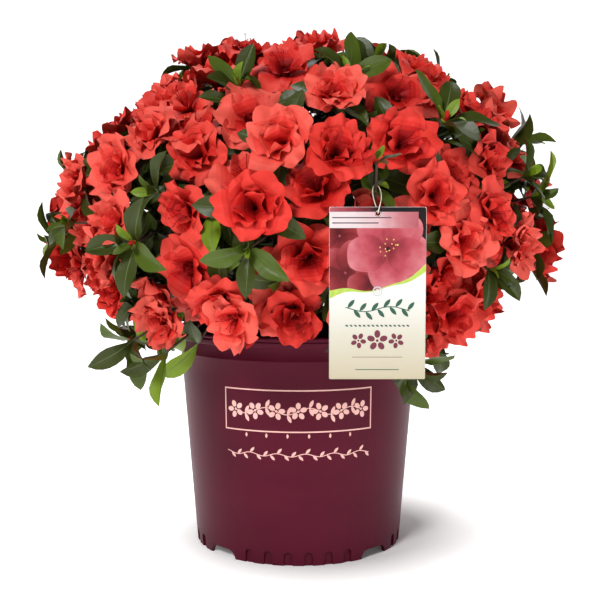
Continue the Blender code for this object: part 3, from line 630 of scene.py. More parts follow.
def limb(bm, path, radii, sides):
    """Add a closed tapering limb along a path."""
    frames = ring_frames(path, radii)
    ring = bmesh.ops.create_circle(bm, cap_ends=True, segments=sides, radius=1.0,
                                   matrix=frames[0])["verts"]
    bmesh.ops.reverse_faces(bm, faces=ring[0].link_faces)
    edges = list({e for v in ring for e in v.link_edges})
    for before, after in zip(frames, frames[1:]):
        pulled = bmesh.ops.extrude_edge_only(bm, edges=edges)["geom"]
        verts = [g for g in pulled if isinstance(g, bmesh.types.BMVert)]
        edges = [g for g in pulled if isinstance(g, bmesh.types.BMEdge) and g.is_boundary]
        bmesh.ops.transform(bm, matrix=after @ before.inverted(), verts=verts)
    bmesh.ops.edgenet_fill(bm, edges=edges)


bm = bmesh.new()
limb(bm, [Vector((0.0, 0.0, k)) for k in range(3)], (1.0, 0.8, 0.6), 5)
print("faces of a five-sided limb with three rings:", len(bm.faces))
bm.free()

# %% [markdown]
# ## Petals
# An azalea's flower is a short tube that opens into broad, wavy lobes.  In this semi-double kind
# the stamens have turned into a second ring of small ruffled petals.  A petal starts as a flat
# grid, because a grid bends cleanly; its outline, its long fold, its cup and its ruffles are then
# moved in by functions of (across, along), so that every petal can differ a little.

# %% Petal outline and relief
PETAL_STRAYS = {
    # what differs from petal to petal, and between which values; the first moves its painted throat
    # shade
    "shade": (-0.08, 0.08),  # how much further its deep shades reach
    "widest": (0.46, 0.58),  # where it is widest, of its length
    "notch": (-0.02, 0.07),  # how deep its tip is notched
    "taper": (0.0, 0.10),  # how much it narrows towards its tip
    "lean": (-0.16, 0.16),  # how far it sweeps to one side
    "roll": (-0.20, 0.20),  # how far one side stands above the other
    "fold": (0.06, 0.16),  # how deep its middle is folded
    "side_waves": (1.2, 2.0),  # ruffles along each side
    "tip_waves": (1.1, 2.0),  # ruffles across its tip
}
PETAL_FOOT = 0.16  # width of a petal's foot, of its widest part
NOTCH_WIDTH = 0.30
FOLD_WIDTH = 0.34
CRINKLE_PITCH = 1.9
CRINKLE_DEPTHS = (0.12, 0.05)


def draws(rng, spans):
    """One random number from each named span, in their order."""
    return {name: rng.uniform(*span) for name, span in spans.items()}


def petal_outline(u, row, width, stray):
    """How far along the petal a point of the grid lies, and the petal's half width there."""
    widest = stray["widest"]
    if row < widest:
        share = row / widest
        return row, width * (PETAL_FOOT + (1 - PETAL_FOOT) * share * share * (3 - 2 * share))
    share = (row - widest) / (1 - widest)
    v = widest + (1 - widest) * share * (1 - u * u / 2) ** 0.5
    v -= stray["notch"] * share * math.exp(-(u / NOTCH_WIDTH) ** 2)
    return v, width * (1 - share * share / 2) ** 0.5 * (1 - stray["taper"] * share)


def petal_relief(u, v, width, wave, cup, stray, phases):
    """How far a point stands off the petal's plain curve: its cup, fold, ruffles and roll."""
    side = phases[0] if u < 0.0 else phases[1]
    bulge = cup * width * u * u * v
    bulge -= stray["fold"] * width * math.exp(-(u / FOLD_WIDTH) ** 2) * v * (1.3 - v)
    bulge += wave * abs(u) ** 1.8 * v * math.sin(side + stray["side_waves"] * math.tau * v)
    bulge += wave * v ** 3 * math.sin(phases[2] + stray["tip_waves"] * math.pi * u)
    return bulge + stray["roll"] * u * width * v * v


print("numbers that stray from petal to petal:", len(PETAL_STRAYS))

# %% Petal sheet
# Rows of a petal past each limit take the next darker colour: painted shade towards the throat.
PAINTED_SHADE_LIMITS = (0.26, 0.36, 0.46, 0.56, 0.66, 0.76, 0.86)


def mapped_grid(bm, cells):
    """Add a grid from -1 to 1 that has its own place as flat map."""
    grid = bmesh.ops.create_grid(bm, x_segments=cells[0], y_segments=cells[1], size=1.0)["verts"]
    flat = bm.loops.layers.uv.verify()
    for vert in grid:
        for loop in vert.link_loops:
            loop[flat].uv = ((vert.co.x + 1) / 2, (vert.co.y + 1) / 2)
    return grid


def painted_shade_step(v, shift):
    """Which colour a row of a petal has: 0 on the blade, up to 7 darker towards the throat as
    painted shade.
    """
    return sum(1.0 - v + shift > limit for limit in PAINTED_SHADE_LIMITS)


def petal_sheet(bm, rng, turn, size, slope, root, cells, wave, cup, shift):
    """Add one petal to a flower whose axis is Z and whose radius is 1.

    size is (length, half width), slope the angles of its lower and outer part above the flower's
    face, root the (radius, height) where it starts, wave the depth of its ruffles, cup how far
    its sides rise, and shift how much further its painted throat shade reaches."""
    length, width = size
    stray = draws(rng, PETAL_STRAYS)
    phases = [rng.uniform(0.0, math.tau) for _ in range(3)]
    place = Vector([rng.uniform(0, 50) for _ in range(3)])
    grid = mapped_grid(bm, cells)
    # Each row gets its colour, darker towards the throat as painted shade.
    for face in {face for vert in grid for face in vert.link_faces}:
        row = (face.calc_center_median().y + 1) / 2
        face.material_index = painted_shade_step(row, shift + stray["shade"])
    for vert in grid:
        u = vert.co.x
        v, half = petal_outline(u, (vert.co.y + 1) / 2, width, stray)
        bulge = petal_relief(u, v, width, wave, cup, stray, phases)
        spot = place + Vector((u * half, v * length, 0.0)) * CRINKLE_PITCH
        bulge += (CRINKLE_DEPTHS[0] * noise.noise(spot) * v
                  + CRINKLE_DEPTHS[1] * noise.noise(spot * 2.7) * v)
        angle = slope[0] + (slope[1] - slope[0]) * v
        middle = (slope[0] + angle) / 2
        out = root[0] + length * v * math.cos(middle) - bulge * math.sin(angle)
        up = root[1] + length * v * math.sin(middle) + bulge * math.cos(angle)
        across = u * half + stray["lean"] * length * v * v
        vert.co = (out * math.cos(turn) - across * math.sin(turn),
                   out * math.sin(turn) + across * math.cos(turn), up)


print("shades along a petal:", [painted_shade_step(k / 8, 0.0) for k in range(9)])

# %% Stamen
STAMEN_REACH = (0.42, 0.62)
STAMEN_DROOP = (0.1, 0.5)
STAMEN_FOOT = (0.05, -0.30)  # how far aside and how deep it starts
STAMEN_RADII = (0.012, 0.012, 0.011, 0.010, 0.008)
ANTHER = (0.018, 0.018, 0.034)


def stamen(bm, rng, turn):
    """Add one thin filament that arches out of the throat to its anther."""
    reach = rng.uniform(*STAMEN_REACH)
    droop = rng.uniform(*STAMEN_DROOP)
    side = Vector((math.cos(turn), math.sin(turn), 0.0))
    path = []
    for k in range(len(STAMEN_RADII)):
        rise = Vector((0.0, 0.0, STAMEN_FOOT[1] + reach * k / 4))
        path.append(side * (STAMEN_FOOT[0] + droop * reach * k * k / 16) + rise)
    limb(bm, path, STAMEN_RADII, 3)
    tip = Matrix.Translation(path[-1]) @ Matrix.Diagonal((*ANTHER, 1.0))
    bmesh.ops.create_icosphere(bm, subdivisions=1, radius=1.0, matrix=tip)


bm = bmesh.new()
stamen(bm, random.Random(0), 0.0)
print("faces of a stamen:", len(bm.faces))
bm.free()

# %% Rings of petals
OUTER_CELLS = (12, 9)
INNER_CELLS = (8, 6)
LOBE_SPANS = {"turn": (-0.12, 0.12), "length": (0.90, 1.06), "half": (0.44, 0.54),
              "rise": (0.90, 1.15), "spread": (-0.80, -0.10), "ruffle": (0.07, 0.13),
              "cup": (-0.55, 0.40)}
LOBE_ROOT = (0.05, -0.54, 0.03)  # radius, height, and how much higher every second lobe starts
# The outer lobes get a little less of the painted throat shade.
LOBE_PAINTED_SHADE_SHIFT = -0.06
INNER_SPANS = {"turn": (-0.35, 0.35), "length": (0.42, 0.54), "half": (0.30, 0.40),
               "rise": (1.2, 1.45), "spread": (0.1, 1.0), "cup": (-0.3, 0.9)}
INNER_GAIN = {"length": 0.28, "rise": -0.25, "spread": -0.5}  # of the outermost inner petal
INNER_ROOT = (0.03, 0.08, -0.42)  # radius, its gain, and height
# The inner petals sit deep in the flower and get more painted shade.
INNER_PAINTED_SHADE_SHIFT = 0.16
FLOWER_KINDS = (
    # outer lobes, inner petals, ruffle of the inner petals, lift of the lobes, stamens
    (5, 5, 0.10, 0.10, 4),
    (5, 7, 0.13, 0.18, 0),
    (6, 9, 0.15, 0.25, 0),
    (5, 3, 0.08, 0.00, 5),
)
GOLDEN_TURN = 2.4  # radians from one inner petal to the next, so none hides another


def outer_lobes(rng, count, lift):
    """The broad lobes round a flower's face."""
    made = bmesh.new()
    for k in range(count):
        lobe = draws(rng, LOBE_SPANS)
        petal_sheet(made, rng, k * math.tau / count + lobe["turn"],
                    (lobe["length"], lobe["half"]), (lobe["rise"] + lift, lobe["spread"] + lift),
                    (LOBE_ROOT[0], LOBE_ROOT[1] + LOBE_ROOT[2] * (k % 2)), OUTER_CELLS,
                    lobe["ruffle"], lobe["cup"], LOBE_PAINTED_SHADE_SHIFT)
    return made


def inner_petals(rng, count, ruffle):
    """The ring of smaller petals, the outer ones longer and flatter."""
    made = bmesh.new()
    for k in range(count):
        far = (k + 1) / count
        petal = draws(rng, INNER_SPANS)
        for name, gain in INNER_GAIN.items():
            petal[name] += gain * far
        petal_sheet(made, rng, k * GOLDEN_TURN + petal["turn"], (petal["length"], petal["half"]),
                    (petal["rise"], petal["spread"]),
                    (INNER_ROOT[0] + INNER_ROOT[1] * far, INNER_ROOT[2]), INNER_CELLS, ruffle,
                    petal["cup"], INNER_PAINTED_SHADE_SHIFT)
    return made


print("kinds of flower:", len(FLOWER_KINDS))

# %% Throat and whole flower
FLOWER_SHAPES = 16
FLOWER_SEED = 900
THROAT_FACES = 10
THROAT_RADII = (0.05, 0.16)
THROAT_LENGTH = 0.40
THROAT_MIDDLE = -0.48
THROAT_MOUTH = 0.475  # faces further forward than this, of its length, are its open mouth


def throat_tube():
    """The short tube behind a flower's face, open in front."""
    made = bmesh.new()
    bmesh.ops.create_cone(made, segments=THROAT_FACES, radius1=THROAT_RADII[0],
                          radius2=THROAT_RADII[1], depth=THROAT_LENGTH, cap_ends=True,
                          matrix=Matrix.Translation((0.0, 0.0, THROAT_MIDDLE)))
    front = THROAT_MIDDLE + THROAT_MOUTH * THROAT_LENGTH
    mouth = [face for face in made.faces if face.calc_center_median().z > front]
    bmesh.ops.delete(made, geom=mouth, context="FACES")
    return made


def flower_parts(number):
    """Outer lobes, inner petals, throat and stamens of one flower of radius 1."""
    rng = random.Random(FLOWER_SEED + number)
    outer_count, inner_count, ruffle, lift, stamens = FLOWER_KINDS[number % len(FLOWER_KINDS)]
    parts = [Shape(outer_lobes(rng, outer_count, lift)),
             Shape(inner_petals(rng, inner_count, ruffle)), Shape(throat_tube())]
    if stamens:
        hairs = bmesh.new()
        for _ in range(stamens):
            stamen(hairs, rng, rng.uniform(0.0, math.tau))
        parts.append(Shape(hairs))
    return parts


flower_shapes = [flower_parts(number) for number in range(FLOWER_SHAPES)]
print("triangles in a flower:", sum(int((s.sizes - 2).sum()) for s in flower_shapes[0]))

# %% [markdown]
# ## Leaves
# The leaf is a narrow ellipse folded a little along its midrib, arched, and slightly wavy.  Four
# cells across and seven along are enough: the fold gives it two planes that catch the light apart.

# %% Leaf shapes
LEAF_SLIMNESS = 0.20
LEAF_CELLS = (4, 7)
LEAF_TIP_ROWS = 0.10  # shifts the rows towards the tip, which is the rounder end
LEAF_FOOT = 0.02
LEAF_WAVE = 0.05
LEAF_SHAPES = 8
LEAF_SEED = 700
LEAF_SPANS = {"arch": (0.10, 0.42), "fold": (0.25, 0.75), "wave": (0.0, math.tau),
              "sweep": (-0.10, 0.10)}
RIB_HALF_WIDTH = 0.014
RIB_LENGTH = 0.97
RIB_LIFT = 0.006  # the midrib stands this far above the fold, of the leaf's length


def leaf_half_width(v):
    """Half width of a leaf of unit length at a share of its length."""
    body = max(0.0, math.sin(math.pi * v ** 1.25)) ** 0.75
    return LEAF_SLIMNESS * max(LEAF_FOOT if v < 0.5 else 0.0, body)


def leaf_height(u, v, arch, fold, wave):
    """Height of a leaf's surface: arched along, folded across, wavy at its margin."""
    half = leaf_half_width(v)
    return (arch * (v - v * v * 1.35) + fold * abs(u) * half
            + LEAF_WAVE * u * u * half / LEAF_SLIMNESS * math.sin(wave + 7.0 * v))


def leaf_blade(arch, fold, wave, sweep):
    """Blade that lies along Y, with its flat map for the vein pattern."""
    made = bmesh.new()
    for vert in mapped_grid(made, LEAF_CELLS):
        u = vert.co.x
        v = (vert.co.y + 1) / 2
        v += LEAF_TIP_ROWS * math.sin(math.pi * v)
        vert.co = (u * leaf_half_width(v) + sweep * v * v, v, leaf_height(u, v, arch, fold, wave))
    bmesh.ops.remove_doubles(made, verts=made.verts, dist=0.0005)
    return made


def leaf_rib(arch, fold, wave, sweep):
    """Midrib: a narrow strip along the blade's fold, a hair above it."""
    made = bmesh.new()
    strip = bmesh.ops.create_grid(made, x_segments=1, y_segments=LEAF_CELLS[1], size=1.0)["verts"]
    for vert in strip:
        u = vert.co.x
        v = (vert.co.y + 1) / 2
        vert.co = (u * RIB_HALF_WIDTH * (1.15 - v) + sweep * v * v, v * RIB_LENGTH,
                   leaf_height(0.0, v * RIB_LENGTH, arch, fold, wave) + RIB_LIFT)
    return made


def leaf_parts(number):
    """Blade and midrib of one leaf of unit length."""
    bend = draws(random.Random(LEAF_SEED + number), LEAF_SPANS)
    return Shape(leaf_blade(**bend)), Shape(leaf_rib(**bend))


leaf_shapes = [leaf_parts(number) for number in range(LEAF_SHAPES)]
print("triangles in a leaf:", int((leaf_shapes[0][0].sizes - 2).sum()))

# %% [markdown]
# ## Room for the tag and the pot
# Real petals press flat against the back of the card and leaves bend over the pot's rim.  The same
# is done to each copy: points that would pass through are pushed back out.

# %% Limits
TAG_MARGIN = 0.004
POT_TOP_RADIUS = POT_RIM_RADIUS - 0.0030
POT_FOOT_RADIUS = 0.1176
CLEAR = 0.0012
PRESSED_DEPTH = 0.12  # share of its depth that something pressed flat keeps
BENT_DEPTH = 0.1  # the same for something bent by the pot
RIM_SHARE = 0.93  # nearer the axis than this, of the rim, a shape is lifted


def behind_tag(points):
    """Press points that reach the card flat behind it."""
    limit = TAG_CENTRE.y + TAG_THICKNESS / 2 + CLEAR
    near = ((np.abs(points[:, 0] - TAG_CENTRE.x) < TAG_WIDTH / 2 + TAG_MARGIN)
            & (np.abs(points[:, 2] - TAG_CENTRE.z) < TAG_HEIGHT / 2 + TAG_MARGIN)
            & (points[:, 1] < limit))
    points[near, 1] = limit + PRESSED_DEPTH * (limit - points[near, 1])
    return points


def off_pot(points):
    """Push points that would enter the pot's wall outwards, and lift those inside its rim."""
    radius = np.hypot(points[:, 0], points[:, 1])
    wall = POT_FOOT_RADIUS + (POT_RIM_RADIUS - POT_FOOT_RADIUS) * points[:, 2] / POT_HEIGHT
    wall = wall + CLEAR
    low = (points[:, 2] < POT_HEIGHT + CLEAR) & (radius < wall)
    if np.median(radius) > POT_RIM_RADIUS * RIM_SHARE:
        factor = (wall[low] + BENT_DEPTH * (wall[low] - radius[low])) / radius[low]
        points[low, 0] *= factor
        points[low, 1] *= factor
    else:
        above = POT_HEIGHT + CLEAR
        points[low, 2] = above + BENT_DEPTH * (above - points[low, 2])
    return points


LIMITS = (behind_tag, off_pot)
print("pushed out of the wall:", off_pot(np.array([[POT_TOP_RADIUS, 0.0, 0.2]])).round(4))

# %% [markdown]
# ## Growing the foliage
# Flowers and rosettes take the places of the solids.  A real shoot also carries a whorl of leaves
# just under its flower, and later, shorter shoots fill the gaps below the outer layer: both are
# grown here with a random stream of their own, so they never disturb the shared draws.

# %% Shades and heaps
# Coral on the blade, darkening to crimson: the deeper colours are painted shade towards the throat.
PETAL_TONES_AND_PAINTED_SHADE = ("#e1594c", "#de4f43", "#da443a", "#d4382f", "#cc2e27", "#c32520", "#b81b18",
                "#aa1513", "#9b100f", "#8b0b0a", "#790706")
FLOWER_TINTS = {"coral": 0, "red": 2, "deep": 3}  # the shade that a flower's blades start from
FLOWER_TINT_SHARES = (0.45, 0.38, 0.17)
LEAF_TINTS = ("dark", "mid", "young")
petal_heaps = {name: Heap() for name in FLOWER_TINTS}
inner_heaps = {name: Heap() for name in FLOWER_TINTS}
leaf_heaps = {name: Heap() for name in LEAF_TINTS}
throat_heap, stamen_heap, rib_heap, bud_heap, sepal_heap = (Heap() for _ in range(5))
print("petal shades:", len(PETAL_TONES_AND_PAINTED_SHADE), "flower tints:", len(FLOWER_TINTS))

# %% [markdown]
# ## One flower, one leaf
# A flower is placed at once, but a leaf is only noted: whether it would stand in a flower is known
# when the last flower is placed.  Then each noted leaf is tried, and the ones in the way are left
# out, as they would have been pushed aside on the plant.  So are leaves that would hang before the
# pot's rim, where the real crown is lifted.

# %% Flowers
flower_plan = []


def add_flower(rng, tip, axis, size, spin):
    """Place a flower: its outer lobes, inner petals, throat and stamens."""
    outer, inner, throat, *hairs = flower_shapes[rng.randrange(FLOWER_SHAPES)]
    flower_plan.append((tip, axis, size))
    tint = rng.choices(tuple(FLOWER_TINTS), FLOWER_TINT_SHARES)[0]
    rows = facing(axis, spin)
    petal_heaps[tint].add(outer, rows, tip, size, LIMITS)
    inner_heaps[tint].add(inner, rows, tip, size, LIMITS)
    throat_heap.add(throat, rows, tip, size, LIMITS)
    for shape in hairs:
        stamen_heap.add(shape, rows, tip, size, LIMITS)


print("flower shapes to draw from:", len(flower_shapes))

# %% Leaves
LEAF_ROLL = 0.35  # radians by which a leaf is rolled or pitched at most
LEAF_CHECKS = (0.3, 0.65, 1.0)  # shares of a leaf's length where it is tried against flowers
FLOWER_ROOM = (-0.45, 0.38, 0.88)  # below, above and beside a flower's face, in its radii
BARE_RIM = (-0.125, 0.100)  # from left to right
BARE_RIM_TOP = 0.262
LIFTED_SIDE = (0.160, 0.243)  # beyond this far to the right no leaf hangs below this height
leaf_plan = []


def add_leaf(rng, root, direction, up, length, tints):
    """Note where a leaf is to grow."""
    tint = rng.choices(LEAF_TINTS, tints)[0]
    rows = along(direction, tilted(up, rng, LEAF_ROLL))
    leaf_plan.append((rng.randrange(LEAF_SHAPES), tint, rows, root, direction, length))


def through_flower(points, tips, axes, sizes):
    """Whether a leaf that runs through these points would pierce one of the flowers."""
    away = points[:, None, :] - tips[None, :, :]
    height = (away * axes[None, :, :]).sum(axis=2) / sizes
    width = np.linalg.norm(away, axis=2) / sizes
    below, above, beside = FLOWER_ROOM
    return bool(((height > below) & (height < above) & (width < beside)).any())


def left_bare(point):
    """Whether a leaf here would hang before the bare part of the rim or low on the right."""
    before = point.y < 0.0 and BARE_RIM[0] < point.x < BARE_RIM[1] and point.z < BARE_RIM_TOP
    return before or (point.x > LIFTED_SIDE[0] and point.z < LIFTED_SIDE[1])


def place_leaves():
    """Place each noted leaf and its midrib, unless it would be in the way."""
    flowers = [np.array(column) for column in zip(*flower_plan)]
    for number, tint, rows, root, direction, length in leaf_plan:
        ends = np.array([root + direction * (length * share) for share in LEAF_CHECKS])
        if not left_bare(Vector(ends[-1])) and not through_flower(ends, *flowers):
            blade, rib = leaf_shapes[number]
            leaf_heaps[tint].add(blade, rows, root, length, LIMITS)
            rib_heap.add(rib, rows, root, length, LIMITS)


print("a leaf over the front rim is left out:", left_bare(Vector((0.0, -0.14, POT_HEIGHT))))

# %% [markdown]
# ## Whorls, side shoots and buds
# Leaves stand round a shoot like the ribs of an umbrella.  Below a flower the umbrella is nearly
# flat and its leaves are old; at the heart of a rosette it is almost closed and the leaves are
# young.  So a whorl is told by two numbers, the scale of its leaves and how far it is open.

# %% Whorls
WHORLS = {
    # scale of the leaves, opening from the shoot's axis in radians, shares of the leaf tints
    "below a flower": (0.95, 1.50, (0.74, 0.24, 0.02)),
    "side shoot": (0.62, 0.95, (0.74, 0.24, 0.02)),
    "stray shoot": (0.95, 0.80, (0.74, 0.24, 0.02)),
    "rosette": (0.95, 1.05, (0.66, 0.29, 0.05)),
    "heart": (0.50, 0.55, (0.10, 0.55, 0.35)),
    "late heart": (0.50, 0.50, (0.10, 0.55, 0.35)),
}
LEAF_STALK = 0.002


def add_whorl(rng, root, axis, count, kind, share=1.0):
    """Leaves standing round a shoot, in one of the whorls above."""
    scale, opening, tints = WHORLS[kind]
    for direction, length in leaf_fan(axis, rng, scale * share, count, opening):
        add_leaf(rng, root + direction * LEAF_STALK, direction, axis, length, tints)


print("kinds of whorl:", len(WHORLS))

# %% Side shoots
SIDE_SHOOT_AT = (0.45, 0.75)  # share of the twig's length
SIDE_SHOOT_LENGTH = (0.016, 0.030)
SIDE_SHOOT_HEADING = (0.75, 0.65)  # ahead and aside
SIDE_SHOOT_BOW = 0.001
SIDE_LEAVES = 3
twig_paths = []
fine_paths = []


def add_side_shoot(rng, path):
    """A finer twig part of the way along a twig, with small leaves at its end."""
    foot = path[0].lerp(path[-1], rng.uniform(*SIDE_SHOOT_AT))
    ahead = (path[-1] - path[0]).normalized()
    side = facing(ahead, rng.uniform(0.0, math.tau))[0]
    heading = (ahead * SIDE_SHOOT_HEADING[0] + side * SIDE_SHOOT_HEADING[1]).normalized()
    tip = foot + heading * rng.uniform(*SIDE_SHOOT_LENGTH)
    fine_paths.append([foot, foot.lerp(tip, 0.5) + ahead * SIDE_SHOOT_BOW, tip])
    add_whorl(rng, tip, heading, SIDE_LEAVES, "side shoot")


print("leaves on a side shoot:", SIDE_LEAVES)

# %% Buds
BUD_RADII = (0.10, 0.22, 0.27, 0.24, 0.16, 0.04)
BUD_TWIST = 1.1
SCALE_RADII = (0.10, 0.20, 0.27, 0.29)
SCALE_HEIGHT = 0.34
BUD_LENGTH = (0.010, 0.018)
BUD_LEAN = 0.55


def bud_shape(radii, rise, turns=0.0):
    """Closed six-sided bud of unit length, twisted a little as furled petals are."""
    made = bmesh.new()
    last = len(radii) - 1
    limb(made, [Vector((0.0, 0.0, rise * k / last)) for k in range(last + 1)], radii, 6)
    for vert in made.verts:
        vert.co.rotate(Matrix.Rotation(turns * vert.co.z, 3, "Z"))
    return Shape(made)


def add_buds(rng, tip, axis):
    """One to three buds at a shoot's tip, their feet in green scales."""
    for _ in range(rng.randint(1, 3)):
        rows = facing(tilted(axis, rng, BUD_LEAN), rng.uniform(0.0, math.tau))
        length = rng.uniform(*BUD_LENGTH)
        bud_heap.add(bud, rows, tip, length, LIMITS)
        sepal_heap.add(sepals, rows, tip, length, LIMITS)


bud = bud_shape(BUD_RADII, 1.0, BUD_TWIST)
sepals = bud_shape(SCALE_RADII, SCALE_HEIGHT)
print("faces of a bud:", len(bud.sizes), "and of its scales:", len(sepals.sizes))

# %% [markdown]
# ## From mass to mass
# Each mass is filled in three passes.  First its own shoots are dressed, exactly where the solids
# have them.  Then later flowers and rosettes take the best places left over, a little lower.
# Last, single leaves deep inside make the gaps read as dark foliage and not as air.

# %% Dress the shared shoots
FLOWER_LEAVES = (4, 5)
ROSETTE_VIGOUR = (0.75, 1.08)  # scale of a rosette's leaves
BUDDED_ROSETTES = 0.30
HEART_LEAVES = 3
HEART_RISE = 0.002


def dress_flower(rng, tip, axis, size, spin):
    """A flower and the whorl of leaves just below it."""
    add_flower(rng, tip, axis, size, spin)
    add_whorl(rng, tip - axis * FLOWER_SET_IN * size, axis, rng.randint(*FLOWER_LEAVES),
              "below a flower")


def dress_rosette(rng, tip, axis, leaves):
    """A rosette as its solid has it, with a young heart and sometimes buds."""
    share = leaves[0][1] / LEAF_LENGTH[1]
    vigour = rng.uniform(*ROSETTE_VIGOUR)
    for direction, length in leaves:
        add_leaf(rng, tip, direction, axis, vigour * length, WHORLS["rosette"][2])
    add_whorl(rng, tip + axis * HEART_RISE, axis, HEART_LEAVES, "heart", share)
    if rng.random() < BUDDED_ROSETTES:
        add_buds(rng, tip + axis * HEART_RISE, axis)


print("leaves below a flower:", FLOWER_LEAVES)

# %% Later shoots
EXTRA_FLOWERS = {"top": 3, "upper": 2, "middle": 2, "skirt": 2}
EXTRA_ROSETTES = 2
EXTRA_SHARES = {True: (0.87, 0.97), False: (0.76, 0.86)}  # in flower or not, of the reach
EXTRA_ROOM = (0.03, 0.02)  # size and clearance that keep a later shoot off pot and tag
EXTRA_LEAN = 0.5
EXTRA_FORK = (0.2, 0.9)
EXTRA_FLOWER_LEAVES = 3
EXTRA_ROSETTE_LEAVES = (5, 7)
TUBE_FOOT = 0.024  # how far below a flower's face its twig ends
EXTRA_WHORL_DROP = 0.020


def add_later_shoot(rng, index, number, taken):
    """One more flower or rosette, where its mass has the most room left."""
    name, _, _, reach = MASSES[index][:4]
    start, end = grown[index][1][0]
    in_flower = number < EXTRA_FLOWERS[name.split("_")[0]]
    found = best_tip(index, rng, taken, LOWEST_FLOWER if in_flower else LOWEST_SHOOT)
    if found is None:
        return
    taken.append(found)
    tip = crown_point(found[0], found[1], reach * rng.uniform(*EXTRA_SHARES[in_flower]))
    tip = pulled_inside(pot_and_tag_walls(tip, EXTRA_ROOM[0]), tip, EXTRA_ROOM[1])
    axis = tilted(outward(tip), rng, EXTRA_LEAN)
    twig_paths.append([start.lerp(end, rng.uniform(*EXTRA_FORK)), tip - axis * TUBE_FOOT])
    add_side_shoot(rng, twig_paths[-1])
    if in_flower:
        add_flower(rng, tip, axis, rng.uniform(*FLOWER_RADIUS), rng.uniform(0.0, math.tau))
        add_whorl(rng, tip - axis * EXTRA_WHORL_DROP, axis, EXTRA_FLOWER_LEAVES,
                  "below a flower")
    else:
        add_whorl(rng, tip, axis, rng.randint(*EXTRA_ROSETTE_LEAVES), "rosette")
        add_whorl(rng, tip + axis * HEART_RISE, axis, HEART_LEAVES, "late heart")


print("later flowers by tier:", EXTRA_FLOWERS)

# %% Inner leaves
INNER_LEAVES = 26
INNER_SPREAD = (20.0, 16.0)  # degrees of azimuth and elevation
INNER_SHARE = (0.42, 0.80)
INNER_TINTS = (0.9, 0.1, 0.0)
INNER_LIFT = 0.3
INNER_LEAN = 1.0


def add_inner_leaf(rng, index):
    """One leaf somewhere inside a mass."""
    _, azimuth, elevation, reach = MASSES[index][:4]
    widen = max(NARROWEST, math.cos(math.radians(elevation)))
    a = azimuth + rng.uniform(-INNER_SPREAD[0], INNER_SPREAD[0]) / widen
    e = elevation + rng.uniform(-INNER_SPREAD[1], INNER_SPREAD[1])
    root = crown_point(a, e, reach * rng.uniform(*INNER_SHARE))
    axis = tilted(outward(root), rng, INNER_LEAN)
    side = facing(axis, rng.uniform(0.0, math.tau))[0]
    direction = (side + axis * INNER_LIFT).normalized()
    add_leaf(rng, root, direction, axis, rng.uniform(*LEAF_LENGTH), INNER_TINTS)


print("inner leaves in all:", INNER_LEAVES * len(MASSES))

# %% Fill the crown
CROWN_SEEDS = (5000, 37)  # of the first mass, and from mass to mass

for index, (tips, twigs, rosettes, blooms) in enumerate(grown):
    rng = random.Random(CROWN_SEEDS[0] + CROWN_SEEDS[1] * index)
    twig_paths += twigs
    for path in twigs[1:]:
        add_side_shoot(rng, path)
    for bloom in blooms:
        dress_flower(rng, *bloom)
    for rosette in rosettes:
        dress_rosette(rng, *rosette)
    taken = list(tips)
    for number in range(EXTRA_FLOWERS[MASSES[index][0].split("_")[0]] + EXTRA_ROSETTES):
        add_later_shoot(rng, index, number, taken)
    for _ in range(INNER_LEAVES):
        add_inner_leaf(rng, index)
print("flowers so far:", len(flower_plan), "leaves noted:", len(leaf_plan))

# %% [markdown]
# ## Stray shoots
# No real crown is a clean dome.  A few shoots reach past it at the sides and below, and a few
# flowers hang low over the rim; they are given one by one, in a list.

# %% Stray shoots and blossoms
STRAY_SHOOTS = (
    # azimuth and elevation in degrees, share of the crown's half width
    (-90, 17, 0.95), (90, 26, 0.97), (152, 30, 0.96), (-148, 8, 0.96), (118, -10, 0.93),
    (-40, -27, 0.99), (-33, -31, 0.97), (30, -40, 0.92), (33, -37, 0.90),
)
STRAY_FLOWERS = ((-16, -23, 0.93), (-1, -22, 0.91), (-36, -25, 0.92), (42, -33, 0.89))
STRAY_LEANS = (0.3, 0.4)  # of a shoot and of a flower
STRAY_FOOT = 0.6
STRAY_LEAVES = 4
STRAY_SEED = 404

rng = random.Random(STRAY_SEED)
for azimuth, elevation, share in STRAY_SHOOTS:
    tip = crown_point(azimuth, elevation, share)
    axis = tilted(outward(tip), rng, STRAY_LEANS[0])
    twig_paths.append([crown_point(azimuth, elevation, STRAY_FOOT), tip])
    add_whorl(rng, tip, axis, STRAY_LEAVES, "stray shoot")
    if elevation > LOWEST_FLOWER:
        add_buds(rng, tip, axis)
for azimuth, elevation, share in STRAY_FLOWERS:
    tip = crown_point(azimuth, elevation, share)
    axis = tilted(outward(tip), rng, STRAY_LEANS[1])
    twig_paths.append([crown_point(azimuth, elevation, STRAY_FOOT), tip - axis * TUBE_FOOT])
    add_flower(rng, tip, axis, FLOWER_RADIUS[0], rng.uniform(0.0, math.tau))
place_leaves()
print("flowers:", len(flower_plan), "leaves noted:", len(leaf_plan))
print("twigs:", len(twig_paths), "finer twigs:", len(fine_paths))

# %% [markdown]
# ## Finishes of petals and leaves
# A petal is thin, moist and almost without shine; what the eye reads as velvet is its fine
# lengthwise veins, so they are relief and not colour.  The colour itself is dealt out by rows: each
# row of a petal has its own plain colour, coral on the blade and darker row by row to crimson in
# the throat; these darker rows are painted shade where the flower is deep.  A leaf has a waxy skin,
# so it is smoother, and its side veins are sunken lines across it.

